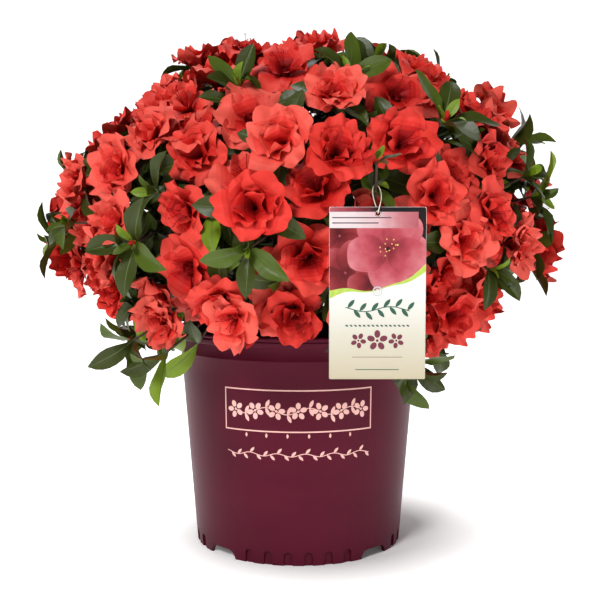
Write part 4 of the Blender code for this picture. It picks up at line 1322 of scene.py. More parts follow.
# %% Petal finish
def petal_finish(name, colour):
    """Azalea petal: thin moist skin with fine lengthwise veins that only show as relief."""
    return finish(name, (
        FLAT_PLACE,
        ("drawn", "Mapping", {"Vector": "place.UV", "Scale": (9.0, 1.2, 1.0)}),
        ("veins", "TexNoise", {"Vector": "drawn.Vector", "Scale": 1.6, "Detail": 2.0}),
        ("bump", "Bump", {"Strength": 0.35, "Distance": 0.0008, "Height": "veins.Fac"}),
    ), {"Base Color": colour, "Roughness": 0.55, "IOR": 1.40, "Specular IOR Level": 0.18,
        "Normal": "bump.Normal"})


petal_tone_and_painted_shade_finishes = [petal_finish("petal shade " + str(k), code)
                  for k, code in enumerate(PETAL_TONES_AND_PAINTED_SHADE)]
# The throat tube is darker than the blades: painted shade deep in the flower.
throat_painted_shade_finish = petal_finish("crimson throat painted shade", "#7c0a10")
stamen_finish = petal_finish("crimson stamen", "#8e1218")
print("petal finishes:", len(petal_tone_and_painted_shade_finishes) + 2)

# %% Leaf finish
def leaf_finish(name, colour, roughness):
    """Azalea leaf: waxy skin over a net of sunken side veins."""
    return finish(name, (
        FLAT_PLACE,
        ("veins", "TexWave", {"Vector": "place.UV", "Scale": 2.4, "Distortion": 2.0},
         [("bands_direction", "Y")]),
        ("bump", "Bump", {"Strength": 0.10, "Distance": 0.0008, "Height": "veins.Fac"}),
    ), {"Base Color": colour, "Roughness": roughness, "IOR": 1.45, "Specular IOR Level": 0.30,
        "Normal": "bump.Normal"})


leaf_finishes = {"dark": leaf_finish("old azalea leaf", "#353e12", 0.40),
                 "mid": leaf_finish("grown azalea leaf", "#485819", 0.42),
                 "young": leaf_finish("young azalea leaf", "#6f861e", 0.45)}
rib_finish = leaf_finish("leaf midrib", "#56653a", 0.5)
print("leaf finishes:", ", ".join(leaf_finishes))

# %% Join the heaps
BUD_SHADE = 6
for tint, first in FLOWER_TINTS.items():
    shown = petal_tone_and_painted_shade_finishes[first:first + len(PAINTED_SHADE_LIMITS) + 1]
    petal_heaps[tint].join("outer_petals_" + tint, shown, "petals", *CROWN_NODES)
    inner_heaps[tint].join("inner_petals_" + tint, shown, "petals", *CROWN_NODES)
throat_heap.join("flower_throats", [throat_painted_shade_finish], "petals", *CROWN_NODES)
stamen_heap.join("stamens", [stamen_finish], "petals", *CROWN_NODES)
for tint, heap in leaf_heaps.items():
    heap.join("leaves_" + tint, [leaf_finishes[tint]], "leaves", *CROWN_NODES)
rib_heap.join("leaf_midribs", [rib_finish], "leaves", *CROWN_NODES)
bud_heap.join("buds", [petal_tone_and_painted_shade_finishes[BUD_SHADE]], "petals", *CROWN_NODES)
sepal_heap.join("bud_scales", [leaf_finishes["young"]], "leaves", *CROWN_NODES)

# %% [markdown]
# ## Stem, boughs and twigs
# The wood repeats the middle lines of the solids, with their corners cut off, and starts each bough
# inside the stem so that the two look grown together.  Bark is never smooth, so the ring points are
# pushed in and out by noise that is stretched along the limb.

# %% Wood sizes
MIX_SURFACE = 0.217
MIX_MOUND = 0.004
STEM_FORK = 0.290
STEM_RADIUS = 0.0100
STEM_FLARE_RADIUS = 0.0165
STEM_LEAN = 0.0025
BOUGH_LAST = 0.025
BOUGH_RADII = (0.0046, 0.0022)
BOUGH_FOOT = {"skirt": 0.243, "middle": 0.260, "upper": 0.277, "top": 0.286}
BOUGH_LEAD = (0.4, 0.004)  # where a bough sags on its way out, and by how much
TOP_LEAD = (0.034, 0.0088)  # how far a top bough first rises and reaches out
STEM_BEND = 2.2
FLARE_FADE = 2.6  # the flare is gone after 1/2.6 of the stem


def stem_axis(height):
    """Centre line of the main stem."""
    rise = (height - MIX_SURFACE) / (STEM_FORK - MIX_SURFACE)
    return Vector((STEM_LEAN * math.sin(rise * STEM_BEND), STEM_LEAN * rise, height))


def stem_radius(height):
    """Radius of the main stem, which flares where it meets the mix."""
    rise = (height - MIX_SURFACE) / (STEM_FORK - MIX_SURFACE)
    flare = max(0.0, 1.0 - rise * FLARE_FADE) ** 2
    return STEM_RADIUS + (STEM_FLARE_RADIUS - STEM_RADIUS) * flare


def bough_path(index):
    """Middle line of the bough that carries a mass."""
    name, azimuth, elevation, reach = MASSES[index][:4]
    tier = name.split("_")[0]
    flat = crown_direction(azimuth, 0.0)
    end = crown_point(azimuth, elevation, BOUGH_END)
    heading = (crown_point(azimuth, elevation, STEM_END * reach) - end).normalized()
    foot = stem_axis(BOUGH_FOOT[tier])
    lead = foot.lerp(end, BOUGH_LEAD[0]) - Vector((0.0, 0.0, BOUGH_LEAD[1]))
    if tier == "top":
        lead = foot + Vector((0.0, 0.0, TOP_LEAD[0])) + flat * TOP_LEAD[1]
    return [foot, lead, end - heading * BOUGH_LAST, end]


print("stem from", round(stem_radius(MIX_SURFACE), 4), "to", round(stem_radius(STEM_FORK), 4), "m")

# %% Bark helpers
BARK_STRETCH = 0.35  # ridges run along the limb, so noise is drawn out that way
SHARP_EDGE = math.radians(38)


def cut_corners(path, rounds):
    """The path with its corners cut off again and again, and its ends kept."""
    for _ in range(rounds):
        cut = [path[0]]
        for before, after in zip(path, path[1:]):
            cut += [before.lerp(after, 0.25), before.lerp(after, 0.75)]
        path = cut + [path[-1]]
    return path


def between(radii, count):
    """Evenly stepped radii from the first to the second."""
    return [radii[0] + (radii[1] - radii[0]) * k / (count - 1) for k in range(count)]


def roughen(bm, depth, pitch):
    """Push the points of limbs in and out: ridges a few millimetres apart."""
    bm.normal_update()
    for vert in bm.verts:
        spot = Vector((vert.co.x, vert.co.y, vert.co.z * BARK_STRETCH)) / pitch
        vert.co += vert.normal * depth * (noise.noise(spot) + 0.5 * noise.noise(spot * 2.3))


def piece_of(bm, name, finish, slot, *nodes):
    """Object from a bmesh, smooth but for its sharp edges, that stands for CAD nodes."""
    mesh = mesh_of(bm, name)
    mesh.set_sharp_from_angle(angle=SHARP_EDGE)
    made = place_piece(name, mesh, [finish])
    if nodes:
        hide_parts(*nodes)
    print(name, "has", sum(len(face.vertices) - 2 for face in mesh.polygons), "triangles")
    return made


print("a path of 4 points, its corners cut twice:", len(cut_corners(bough_path(0), 2)), "points")

# %% Bark finish
def bark_finish(name, *codes):
    """Thin grey-brown bark: fissures a millimetre or two apart, dry and dull."""
    return finish(name, (
        OBJECT_PLACE,
        ("drawn", "Mapping", {"Vector": "place.Object", "Scale": (1.0, 1.0, 0.4)}),
        ("plates", "TexNoise", {"Vector": "drawn.Vector", "Scale": 420.0, "Detail": 6.0,
                                "Roughness": 0.6}),
        ("tone", "ValToRGB", {"Fac": "plates.Fac"}, [("color_ramp", codes)]),
        ("bump", "Bump", {"Strength": 0.7, "Distance": 0.0006, "Height": "plates.Fac"}),
    ), {"Base Color": "tone.Color", "Roughness": 0.82, "IOR": 1.45, "Normal": "bump.Normal"})


bark = bark_finish("azalea bark", "#2a1d15", "#5a4534", "#8a745c")
twig_bark = bark_finish("twig bark", "#241a12", "#3d2d20", "#5c4936")
print("finishes of the wood:", bark.name, "and", twig_bark.name)

# %% Stem and boughs
STEM_RINGS = 24
STEM_SIDES = 20
STEM_END_RISE = 0.004  # the stem ends a little above its fork, inside the boughs
BOUGH_SIDES = 8
STEM_BARK = (0.0011, 0.006)  # depth and pitch of the ridges
BOUGH_BARK = (0.0005, 0.004)

bm = bmesh.new()
levels = [MIX_SURFACE + (STEM_FORK + STEM_END_RISE - MIX_SURFACE) * k / STEM_RINGS
          for k in range(STEM_RINGS + 1)]
limb(bm, [stem_axis(level) for level in levels], [stem_radius(level) for level in levels],
     STEM_SIDES)
roughen(bm, *STEM_BARK)
piece_of(bm, "stem_bark", bark, "bark", "main_stem")

bm = bmesh.new()
for index in range(len(MASSES)):
    path = cut_corners(bough_path(index), 2)
    limb(bm, path, between(BOUGH_RADII, len(path)), BOUGH_SIDES)
roughen(bm, *BOUGH_BARK)
piece_of(bm, "bough_bark", bark, "bark", *BOUGH_NODES)

# %% Twigs
TWIG_RADII = (0.0019, 0.0012)
TWIG_SIDES = 5
TWIG_BOW = (0.001, 0.004)
FINE_RADII = (0.0010, 0.0007)
FINE_SIDES = 4
TWIG_SEED = 77
UPRIGHT = np.identity(3)
twig_heap = Heap()


def add_twig(path, radii, sides):
    """Join one twig to the heap of twigs."""
    made = bmesh.new()
    limb(made, path, between(radii, len(path)), sides)
    twig_heap.add(Shape(made), UPRIGHT, (0.0, 0.0, 0.0), 1.0)


rng = random.Random(TWIG_SEED)
for path in twig_paths:
    bow = facing((path[-1] - path[0]).normalized(), rng.uniform(0.0, math.tau))[0]
    if len(path) == 2:
        bend = path[0].lerp(path[1], 0.5) + bow * rng.uniform(*TWIG_BOW)
        path = [path[0], bend, path[1]]
    add_twig(cut_corners(path, 1), TWIG_RADII, TWIG_SIDES)
for path in fine_paths:
    add_twig(path, FINE_RADII, FINE_SIDES)
twig_heap.join("twigs", [twig_bark], "bark", *CROWN_NODES)

# %% [markdown]
# ## The pot
# A nursery pot is injection moulded in one shot: a thin tapered wall with a fine bead, a rim band
# under a rolled lip, and a foot ring whose notches let water out.  Its section is drawn once, from
# the middle of the underside round to the middle of the inside floor, and spun round the axis.

# %% Pot section
POT_WALL = 0.0024
POT_FLOOR = 0.014
FLOOR_THICKNESS = 0.0026
FOOT_RING_WIDTH = 0.0042
BAND_DEPTH = 0.0112
BEAD_AT = 0.2206
BEAD_RISE = 0.0006
LIP_RADIUS = 0.0022
EDGE_ROUND = 0.0007
FOOT_SLOPE = 0.0015
FLOOR_ROUND = 0.001
BAND_START = 0.0004
BEAD_CORNERS = ((-0.0016, 0.0), (-0.0008, 0.75), (0.0, 1.0), (0.0008, 0.75), (0.0016, 0.0))
LIP_TURNS = (-75, -45, -15, 15, 45, 70, 90)
WALL_LEVELS = (0.0148, 0.022, 0.06, 0.11, 0.16, 0.20)
RIM_BAND = (
    # in from the rim and down from the top, from below the band round to its lip ...
    (0.0018, BAND_DEPTH - 0.0002), (0.0012, BAND_DEPTH - 0.0009),
    (0.0009, 0.0060), (0.0017, 0.0051),
)
RIM_INSIDE = ((0.0040, 0.0003), (0.0046, 0.0012))  # ... and from the lip into the pot


def pot_radius(height):
    """Outside radius of the plain tapered wall at a height."""
    return POT_FOOT_RADIUS + (POT_TOP_RADIUS - POT_FOOT_RADIUS) * height / POT_HEIGHT


def bead_section():
    """Corners of the fine rounded bead below the rim band."""
    return [(pot_radius(BEAD_AT) + BEAD_RISE * rise, BEAD_AT + up) for up, rise in BEAD_CORNERS]


def lip_section():
    """Corners of the rolled lip, from its lower outside round to its top."""
    middle = (POT_RIM_RADIUS - LIP_RADIUS, POT_HEIGHT - LIP_RADIUS)
    turns = [math.radians(turn) for turn in LIP_TURNS]
    return [(middle[0] + LIP_RADIUS * math.cos(t), middle[1] + LIP_RADIUS * math.sin(t))
            for t in turns]


def rim_corners(rows):
    """Corners told from the pot's rim and top."""
    return [(POT_RIM_RADIUS - inwards, POT_HEIGHT - down) for inwards, down in rows]


print("wall at half height:", round(pot_radius(POT_HEIGHT / 2), 4), "m from the axis")

# %% Pot outline
step = POT_HEIGHT - BAND_DEPTH
foot_inside = POT_FOOT_RADIUS - FOOT_RING_WIDTH
inside_floor = POT_FLOOR + FLOOR_THICKNESS
pot_section = [
    (0.0, POT_FLOOR),
    (foot_inside - FOOT_SLOPE, POT_FLOOR),
    (foot_inside, EDGE_ROUND),
    (foot_inside + EDGE_ROUND, 0.0),
    (POT_FOOT_RADIUS - EDGE_ROUND, 0.0),
    (POT_FOOT_RADIUS, EDGE_ROUND),
    *[(pot_radius(height), height) for height in WALL_LEVELS],
    *bead_section(),
    (pot_radius(step), step - BAND_START),
    *rim_corners(RIM_BAND),
    *lip_section(),
    *rim_corners(RIM_INSIDE),
    (pot_radius(step) - POT_WALL, step),
    (pot_radius(inside_floor) - POT_WALL, inside_floor + FLOOR_ROUND),
    (pot_radius(inside_floor) - POT_WALL - FLOOR_ROUND, inside_floor),
    (0.0, inside_floor),
]
print("corners of the pot's section:", len(pot_section))

# %% [markdown]
# ## Openings in the foot
# On the mould the notches and flutes are blocks that the plastic flows round.  Here they are blocks
# that a Boolean takes away from the spun skin, all in one go, which is quicker than cutting each
# opening into the section by hand and leaves clean edges.

# %% Foot cutters
CUT_BELOW = 0.004
CUT_BEYOND = 0.006
NOTCHES = 4
NOTCH_SIZE = (0.039, 0.010)
NOTCH_DEPTH = 0.012
FLUTES = 6
FLUTE_PITCH = math.radians(10.6)
FLUTE_SIZE = (0.0092, 0.0152)
FLUTE_DEPTH = 0.0022


def arch_cutter(bm, size, steps, inner, azimuth):
    """Add a round-headed block that cuts an arched opening up from the floor."""
    width, height = size
    corner = min(width / 2, height)
    outline = [(-width / 2, -CUT_BELOW), (width / 2, -CUT_BELOW)]
    for side in (1, -1):
        for k in range(steps + 1):
            turn = math.pi / 2 * (k / steps if side > 0 else 1.0 - k / steps)
            outline.append((side * (width / 2 - corner + corner * math.cos(turn)),
                            height - corner + corner * math.sin(turn)))
    near = bm.faces.new([bm.verts.new((x, -inner, z)) for x, z in outline])
    pushed = bmesh.ops.extrude_face_region(bm, geom=[near])["geom"]
    verts = [g for g in pushed if isinstance(g, bmesh.types.BMVert)]
    bmesh.ops.translate(bm, verts=verts, vec=(0.0, inner - POT_FOOT_RADIUS - CUT_BEYOND, 0.0))
    verts += list(near.verts)
    bmesh.ops.rotate(bm, verts=verts, cent=(0, 0, 0), matrix=Matrix.Rotation(azimuth, 3, "Z"))


cutter = bmesh.new()
for quarter in range(NOTCHES):
    middle = math.tau / NOTCHES * quarter
    arch_cutter(cutter, NOTCH_SIZE, 8, POT_FOOT_RADIUS - NOTCH_DEPTH,
                middle + math.pi / NOTCHES)
    for k in range(FLUTES):
        arch_cutter(cutter, FLUTE_SIZE, 6, POT_FOOT_RADIUS - FLUTE_DEPTH,
                    middle + (k - (FLUTES - 1) / 2) * FLUTE_PITCH)
bmesh.ops.remove_doubles(cutter, verts=cutter.verts, dist=0.000001)
bmesh.ops.recalc_face_normals(cutter, faces=cutter.faces)
print("faces of the cutters:", len(cutter.faces))

# %% Pot skin
SPIN_STEPS = 160

bm = bmesh.new()
corners = [bm.verts.new((radius, 0.0, height)) for radius, height in pot_section]
edges = [bm.edges.new(pair) for pair in zip(corners, corners[1:])]
bmesh.ops.spin(bm, geom=corners + edges, cent=(0, 0, 0), axis=(0, 0, 1), angle=math.tau,
               steps=SPIN_STEPS, use_merge=True)
bmesh.ops.remove_doubles(bm, verts=bm.verts, dist=0.000005)
bmesh.ops.recalc_face_normals(bm, faces=bm.faces)
skin = linked("uncut pot", mesh_of(bm, "uncut pot"))
knife = linked("foot cutters", mesh_of(cutter, "foot cutters"))
cut = skin.modifiers.new("foot openings", "BOOLEAN")
cut.operation = "DIFFERENCE"
cut.object = knife
cut.solver = "EXACT"
graph = bpy.context.evaluated_depsgraph_get()
cut_mesh = bpy.data.meshes.new_from_object(skin.evaluated_get(graph))
bm = bmesh.new()
bm.from_mesh(cut_mesh)
bpy.data.objects.remove(skin, do_unlink=True)
bpy.data.objects.remove(knife, do_unlink=True)
print("faces of the pot's skin:", len(bm.faces))

# %% Pot plastic
# Satin polypropylene: faint flow marks in its gloss and the fine grain of an etched mould.
pot_plastic = finish("moulded polypropylene", (
    OBJECT_PLACE,
    ("drawn", "Mapping", {"Vector": "place.Object", "Scale": (1.0, 1.0, 3.0)}),
    ("flow", "TexNoise", {"Vector": "drawn.Vector", "Scale": 9.0, "Detail": 3.0}),
    ("tone", "ValToRGB", {"Fac": "flow.Fac"}, [("color_ramp", ("#480c1f", "#500f23", "#581328"))]),
    ("gloss", "MapRange", {"Value": "flow.Fac", "To Min": 0.36, "To Max": 0.47}),
    ("grain", "TexNoise", {"Vector": "place.Object", "Scale": 1500.0, "Detail": 2.0}),
    ("bump", "Bump", {"Strength": 0.10, "Distance": 0.0002, "Height": "grain.Fac"}),
), {"Base Color": "tone.Color", "Roughness": "gloss.Result", "IOR": 1.49,
    "Specular IOR Level": 0.10, "Normal": "bump.Normal"})
piece_of(bm, "pot_skin", pot_plastic, "pot_plastic", "pot")

# %% [markdown]
# ## The print on the pot
# The pot carries a pale print.  Here it is a plain garden ornament: a framed row of blossoms on a
# stem, with a leafy line below.  Flat shapes are drawn in the plane first, where sizes are easy to
# judge, then wrapped on the tapered wall a hair's breadth proud of it.

# %% Drawing helpers
def drawn_shape(bm, middle, half, turn=0.0, point=0.0, corners=14):
    """Add a flat ellipse, which narrows to a leaf as point goes to 1.  Its map runs along it."""
    flat = bm.loops.layers.uv.get("flat") or bm.loops.layers.uv.new("flat")
    place = Matrix.Translation((*middle, 0.0)) @ Matrix.Rotation(turn, 4, "Z")
    ring = bmesh.ops.create_circle(bm, cap_ends=True, segments=corners, radius=1.0)["verts"]
    for vert in ring:
        x, y = vert.co.xy
        for loop in vert.link_loops:
            loop[flat].uv = ((x + 1) / 2, (y + 1) / 2)
        narrow = x * (1 - point) + math.copysign(1 - y * y, x) * point
        vert.co = place @ Vector((half[0] * narrow, half[1] * y, 0.0))
    return ring


def drawn_line(bm, path, width):
    """Add a flat line of even width along a path."""
    flat = bm.loops.layers.uv.get("flat") or bm.loops.layers.uv.new("flat")
    last = len(path) - 1
    strip = bmesh.ops.create_grid(bm, x_segments=last, y_segments=1, size=1.0)["verts"]
    for vert in strip:
        k = round((vert.co.x + 1) / 2 * last)
        for loop in vert.link_loops:
            loop[flat].uv = (k / last, (vert.co.y + 1) / 2)
        ahead = (path[min(k + 1, last)] - path[max(k - 1, 0)]).normalized()
        vert.co.xy = path[k] + Vector((-ahead.y, ahead.x)) * (vert.co.y * width / 2)
    return strip


def drawn_ring(bm, middle, radius, width, corners=28):
    """Add a flat ring."""
    place = Matrix.Translation((*middle, 0.0))
    edges = []
    for share in (radius, radius - width):
        ring = bmesh.ops.create_circle(bm, segments=corners, radius=share, matrix=place)["verts"]
        edges += list({edge for vert in ring for edge in vert.link_edges})
    made = bmesh.ops.bridge_loops(bm, edges=edges)["faces"]
    bmesh.ops.recalc_face_normals(bm, faces=made)
    if made[0].normal.z < 0.0:
        bmesh.ops.reverse_faces(bm, faces=made)


bm = bmesh.new()
drawn_ring(bm, (0.0, 0.0), 1.0, 0.2)
print("faces of a drawn ring:", len(bm.faces))
bm.free()

# %% Blossom drawing
BLOSSOM_PETALS = 5
PETAL_AWAY = 0.60  # from the blossom's middle to its petals' middles, of its size
PETAL_HALF = (0.27, 0.36)
BLOSSOM_DOT = 0.13


def heading_of(turn):
    """Direction in which a shape points that stood upright and was then turned."""
    return Vector((-math.sin(turn), math.cos(turn)))


def drawn_blossom(bm, middle, size, turn=0.0):
    """Add five round petals round a dot, with bare gaps between them."""
    half = (PETAL_HALF[0] * size, PETAL_HALF[1] * size)
    for k in range(BLOSSOM_PETALS):
        lean = turn + k * math.tau / BLOSSOM_PETALS
        drawn_shape(bm, Vector(middle) + heading_of(lean) * PETAL_AWAY * size, half, lean)
    drawn_shape(bm, middle, (BLOSSOM_DOT * size, BLOSSOM_DOT * size))


print("petals of a drawn blossom:", BLOSSOM_PETALS)

# %% Leafy lines
LEAF_POINT = 0.8


def waving(line, x):
    """Point at a distance across on a waving line of (height, sway, wave length)."""
    height, sway, length = line
    return Vector((x, height + sway * math.sin(math.tau * x / length)))


def drawn_leaf(bm, foot, side, lean, away, half, corners=14):
    """Add a pointed leaf beside a line, leaning off it upwards (side 1) or downwards."""
    turn = -lean if side > 0 else math.pi + lean
    drawn_shape(bm, foot + heading_of(turn) * away, half, turn, LEAF_POINT, corners)


def level_line(height, places):
    """Points of a level line."""
    return [Vector((x, height)) for x in places]


print("a line that waves by 2 mm reaches", round(waving((0.0, 0.002, 0.04), 0.01).y, 4), "m")

# %% Frame and vine of the pot print
FRAME_HALF = (0.0826, 0.0220)
FRAME_MIDDLE = 0.1685
FRAME_LINE = 0.0014
VINE = (FRAME_MIDDLE, 0.0036, 0.046)  # height, sway and wave length
VINE_REACH = 0.069
VINE_WIDTH = 0.0009
VINE_BLOSSOMS = 7
BLOSSOM_SIZE = 0.0098
BLOSSOM_TURN = 0.3
VINE_LEAF = (0.45, 0.0048, (0.0019, 0.0046))  # lean, distance off the line, half sizes

bm = bmesh.new()
for side in (-1, 1):
    drawn_line(bm, level_line(FRAME_MIDDLE + side * FRAME_HALF[1],
                              np.linspace(-FRAME_HALF[0], FRAME_HALF[0], 49)), FRAME_LINE)
    upright = [Vector((side * (FRAME_HALF[0] - FRAME_LINE / 2), level))
               for level in np.linspace(FRAME_MIDDLE - FRAME_HALF[1] + FRAME_LINE / 2,
                                        FRAME_MIDDLE + FRAME_HALF[1] - FRAME_LINE / 2, 9)]
    drawn_line(bm, upright, FRAME_LINE)
drawn_line(bm, [waving(VINE, x) for x in np.linspace(-VINE_REACH, VINE_REACH, 61)], VINE_WIDTH)
for k in range(-(VINE_BLOSSOMS // 2), VINE_BLOSSOMS // 2 + 1):
    drawn_blossom(bm, waving(VINE, k * VINE[2] / 2), BLOSSOM_SIZE, BLOSSOM_TURN * k)
for k in range(2 - VINE_BLOSSOMS, VINE_BLOSSOMS - 1, 2):
    for side in (-1, 1):
        drawn_leaf(bm, waving(VINE, k * VINE[2] / 4), side, *VINE_LEAF)
print("shapes in the frame:", len(bm.faces))

# %% Drops and leafy line of the pot print
DROPS = 6
DROP_ROW = 0.1420
DROP_PITCH = 0.0225
DROP_HALF = (0.0013, 0.0024)
LEAFY_LINE = (0.1215, 0.0016, 0.030)
LEAFY_REACH = 0.080
LEAFY_WIDTH = 0.0008
LEAFY_LEAVES = 21
LEAFY_PITCH = 0.0075
LEAFY_LEAF = (0.75, 0.0040, (0.0015, 0.0036), 10)

for k in range(DROPS):
    drawn_shape(bm, ((k - (DROPS - 1) / 2) * DROP_PITCH, DROP_ROW), DROP_HALF, 0.0, LEAF_POINT,
                10)
drawn_line(bm, [waving(LEAFY_LINE, x) for x in np.linspace(-LEAFY_REACH, LEAFY_REACH, 97)],
           LEAFY_WIDTH)
for k in range(-(LEAFY_LEAVES // 2), LEAFY_LEAVES // 2 + 1):
    drawn_leaf(bm, waving(LEAFY_LINE, k * LEAFY_PITCH), 1 if k % 2 else -1, *LEAFY_LEAF)
print("shapes in the pot's print:", len(bm.faces))

# %% Wrap and print it
PRINT_LIFT = 0.00014
INK_THICKNESS = 0.00008

for vert in bm.verts:
    radius = pot_radius(vert.co.y) + PRINT_LIFT
    turn = vert.co.x / radius
    vert.co = (radius * math.sin(turn), -radius * math.cos(turn), vert.co.y)
bmesh.ops.solidify(bm, geom=bm.faces[:], thickness=INK_THICKNESS)


def ink_finish(name, *codes, roughness=0.42):
    """Printed ink: thin, even, with the slight mottle of a pad print."""
    return finish(name, (
        OBJECT_PLACE,
        ("mottle", "TexNoise", {"Vector": "place.Object", "Scale": 260.0, "Detail": 3.0}),
        ("tone", "ValToRGB", {"Fac": "mottle.Fac"}, [("color_ramp", codes)]),
        ("bump", "Bump", {"Strength": 0.05, "Distance": 0.0001, "Height": "mottle.Fac"}),
    ), {"Base Color": "tone.Color", "Roughness": roughness, "IOR": 1.48, "Normal": "bump.Normal"})


pale_ink = ink_finish("pale pink pad print", "#e3a79f", "#efbcb3")
piece_of(bm, "pot_print", pale_ink, "pot_print")

# %% [markdown]
# ## The hang tag
# The card is in the construction model; it only needs its finish: white coated board that shades
# to cream at the foot.  Its picture, a few plain overlapping blossoms, is drawn in flat shapes that
# lie in front of each other by hundredths of a millimetre, the way inks overprint.

# %% Tag board and loop finishes
CREAM_RISE = 0.078  # the board is cream at its foot and white from here upwards


def finish_node(name, material):
    """Give a carried-over node its finish."""
    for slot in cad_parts[name].material_slots:
        slot.material = material
    print(name, "is finished as", material.name)


# Coated board: smooth satin, white above and cream towards the foot.
board = finish("coated tag board", (
    OBJECT_PLACE,
    ("axes", "SeparateXYZ", {"Vector": "place.Object"}),
    ("rise", "MapRange", {"Value": "axes.Z", "From Min": tag_low.z,
                          "From Max": tag_low.z + CREAM_RISE}),
    ("tone", "ValToRGB", {"Fac": "rise.Result"},
     [("color_ramp", ("#b7ac91", "#c7c2b2", "#dcdcd8"))]),
    ("fibre", "TexNoise", {"Vector": "place.Object", "Scale": 1800.0, "Detail": 2.0}),
    ("bump", "Bump", {"Strength": 0.05, "Distance": 0.0001, "Height": "fibre.Fac"}),
), {"Base Color": "tone.Color", "Roughness": 0.34, "IOR": 1.50, "Normal": "bump.Normal"})
finish_node("hang_tag", board)
finish_node("tag_loop", ink_finish("loop filament", "#d9c9ab", "#efe4cf", roughness=0.30))

# %% Tag sizes
TAG_FRONT = tag_low.y
PRINT_INSET = 0.0002
HALF = TAG_WIDTH / 2 - PRINT_INSET
PICTURE_TOP = TAG_HEIGHT / 2 - PRINT_INSET
PRINT_CORNER = 0.0011  # cut off the picture's corners, inside the card's round ones
HOLE_PLACE = Vector((0.0, TAG_HEIGHT / 2 - TAG_HOLE_DROP))
HOLE_EDGE = 0.0024
FOOT_EDGE = (0.0035, 0.0215, 0.0013, 170)  # height, rise to the right, sway, waves
LIFTS = {
    # how far each layer of the picture stands before the card, so that none cuts another
    "ground": 0.00005, "petals": 0.00008, "pollen": 0.00042, "foot": 0.00046, "band": 0.00050,
    "lines": 0.00052, "rules": 0.00054, "ring": 0.00056,
}
print("the picture is", round(2 * HALF, 4), "m wide in", len(LIFTS), "layers")

# %% Tag drawing helpers
def picture_foot(x):
    """Height of the waving lower edge of the picture."""
    height, rise, sway, waves = FOOT_EDGE
    return height + rise * max(0.0, x / HALF) ** 1.5 + sway * math.sin(waves * x)


def shaped_panel(bm, low, high, right=HALF, steps=28):
    """Add a panel from the card's left edge between two edges that are functions of x."""
    grid = bmesh.ops.create_grid(bm, x_segments=steps, y_segments=1, size=1.0)["verts"]
    for vert in grid:
        x = -HALF + (right + HALF) * (vert.co.x + 1) / 2
        vert.co.xy = (x, high(x) if vert.co.y > 0.0 else low(x))


def tag_print(bm, name, ink, layer):
    """Piece of the tag's picture: a drawing stood upright before the card, in its layer."""
    for vert in bm.verts:
        vert.co = (TAG_CENTRE.x + vert.co.x, TAG_FRONT - LIFTS[layer] - vert.co.z,
                   TAG_CENTRE.z + vert.co.y)
    bm.normal_update()
    piece_of(bm, name, ink, "tag_card")


print("the picture's foot rises from", round(picture_foot(-HALF), 4), "to",
      round(picture_foot(HALF), 4), "m")

# %% Ink that changes across
def print_across(name, *codes):
    """Ink that changes its shade across the card, with a little mottle."""
    return finish(name, (
        OBJECT_PLACE,
        ("axes", "SeparateXYZ", {"Vector": "place.Object"}),
        ("run", "MapRange", {"Value": "axes.X", "From Min": TAG_CENTRE.x - HALF,
                             "From Max": TAG_CENTRE.x + HALF}),
        ("cloud", "TexNoise", {"Vector": "place.Object", "Scale": 120.0, "Detail": 3.0}),
        ("drift", "MapRange", {"Value": "cloud.Fac", "To Min": -0.12, "To Max": 0.12}),
        ("total", "Math", {0: "run.Result", 1: "drift.Result"}, [("operation", "ADD")]),
        ("tone", "ValToRGB", {"Fac": "total.Value"}, [("color_ramp", codes)]),
    ), {"Base Color": "tone.Color", "Roughness": 0.34, "IOR": 1.50, "Specular IOR Level": 0.25})


dusk_ink = print_across("dusky picture ground", "#a2545a", "#86323d", "#231c1f", "#12161a",
                        "#1d1715")
strip_ink = print_across("pale strip print", "#d2c6c7", "#cfc0c2", "#c7a4a7", "#b06a70", "#9c4a52")
print("inks that change across:", dusk_ink.name, "and", strip_ink.name)

# %% Picture ground
bm = bmesh.new()
outline = [(-HALF, 0.0), (HALF, 0.0), (HALF, PICTURE_TOP - PRINT_CORNER),
           (HALF - PRINT_CORNER, PICTURE_TOP), (PRINT_CORNER - HALF, PICTURE_TOP),
           (-HALF, PICTURE_TOP - PRINT_CORNER)]
corners = [bm.verts.new((x, y, 0.0)) for x, y in outline]
edges = [bm.edges.new(pair) for pair in zip(corners, corners[1:] + corners[:1])]
hole = bmesh.ops.create_circle(bm, segments=20, radius=HOLE_EDGE,
                               matrix=Matrix.Translation((*HOLE_PLACE, 0.0)))["verts"]
edges += list({edge for vert in hole for edge in vert.link_edges})
bmesh.ops.triangle_fill(bm, use_beauty=True, edges=edges, normal=(0.0, 0.0, 1.0))
tag_print(bm, "tag_picture_ground", dusk_ink, "ground")

# %% Inks of the printed petals
def petal_ink_finish(name, *codes):
    """Inks of a printed petal, deep at its foot and light at its tip."""
    return finish(name, (
        FLAT_PLACE,
        ("axes", "SeparateXYZ", {"Vector": "place.UV"}),
        ("around", "TexCoord", {}),
        ("cloud", "TexNoise", {"Vector": "around.Object", "Scale": 110.0, "Detail": 3.0}),
        ("drift", "Math", {0: "cloud.Fac", 1: 0.7, 2: "axes.Y"}, [("operation", "MULTIPLY_ADD")]),
        ("fall", "MapRange", {"Value": "drift.Value", "From Min": 0.3, "From Max": 1.35}),
        ("tone", "ValToRGB", {"Fac": "fall.Result"}, [("color_ramp", codes)]),
    ), {"Base Color": "tone.Color", "Roughness": 0.34, "IOR": 1.50, "Specular IOR Level": 0.25})


petal_inks = {"rose": petal_ink_finish("rose petal print", "#74202a", "#a8434e", "#c4747b"),
              "wine": petal_ink_finish("wine petal print", "#4c1014", "#80272c", "#a34a50")}
print("inks of the petals:", ", ".join(petal_inks))

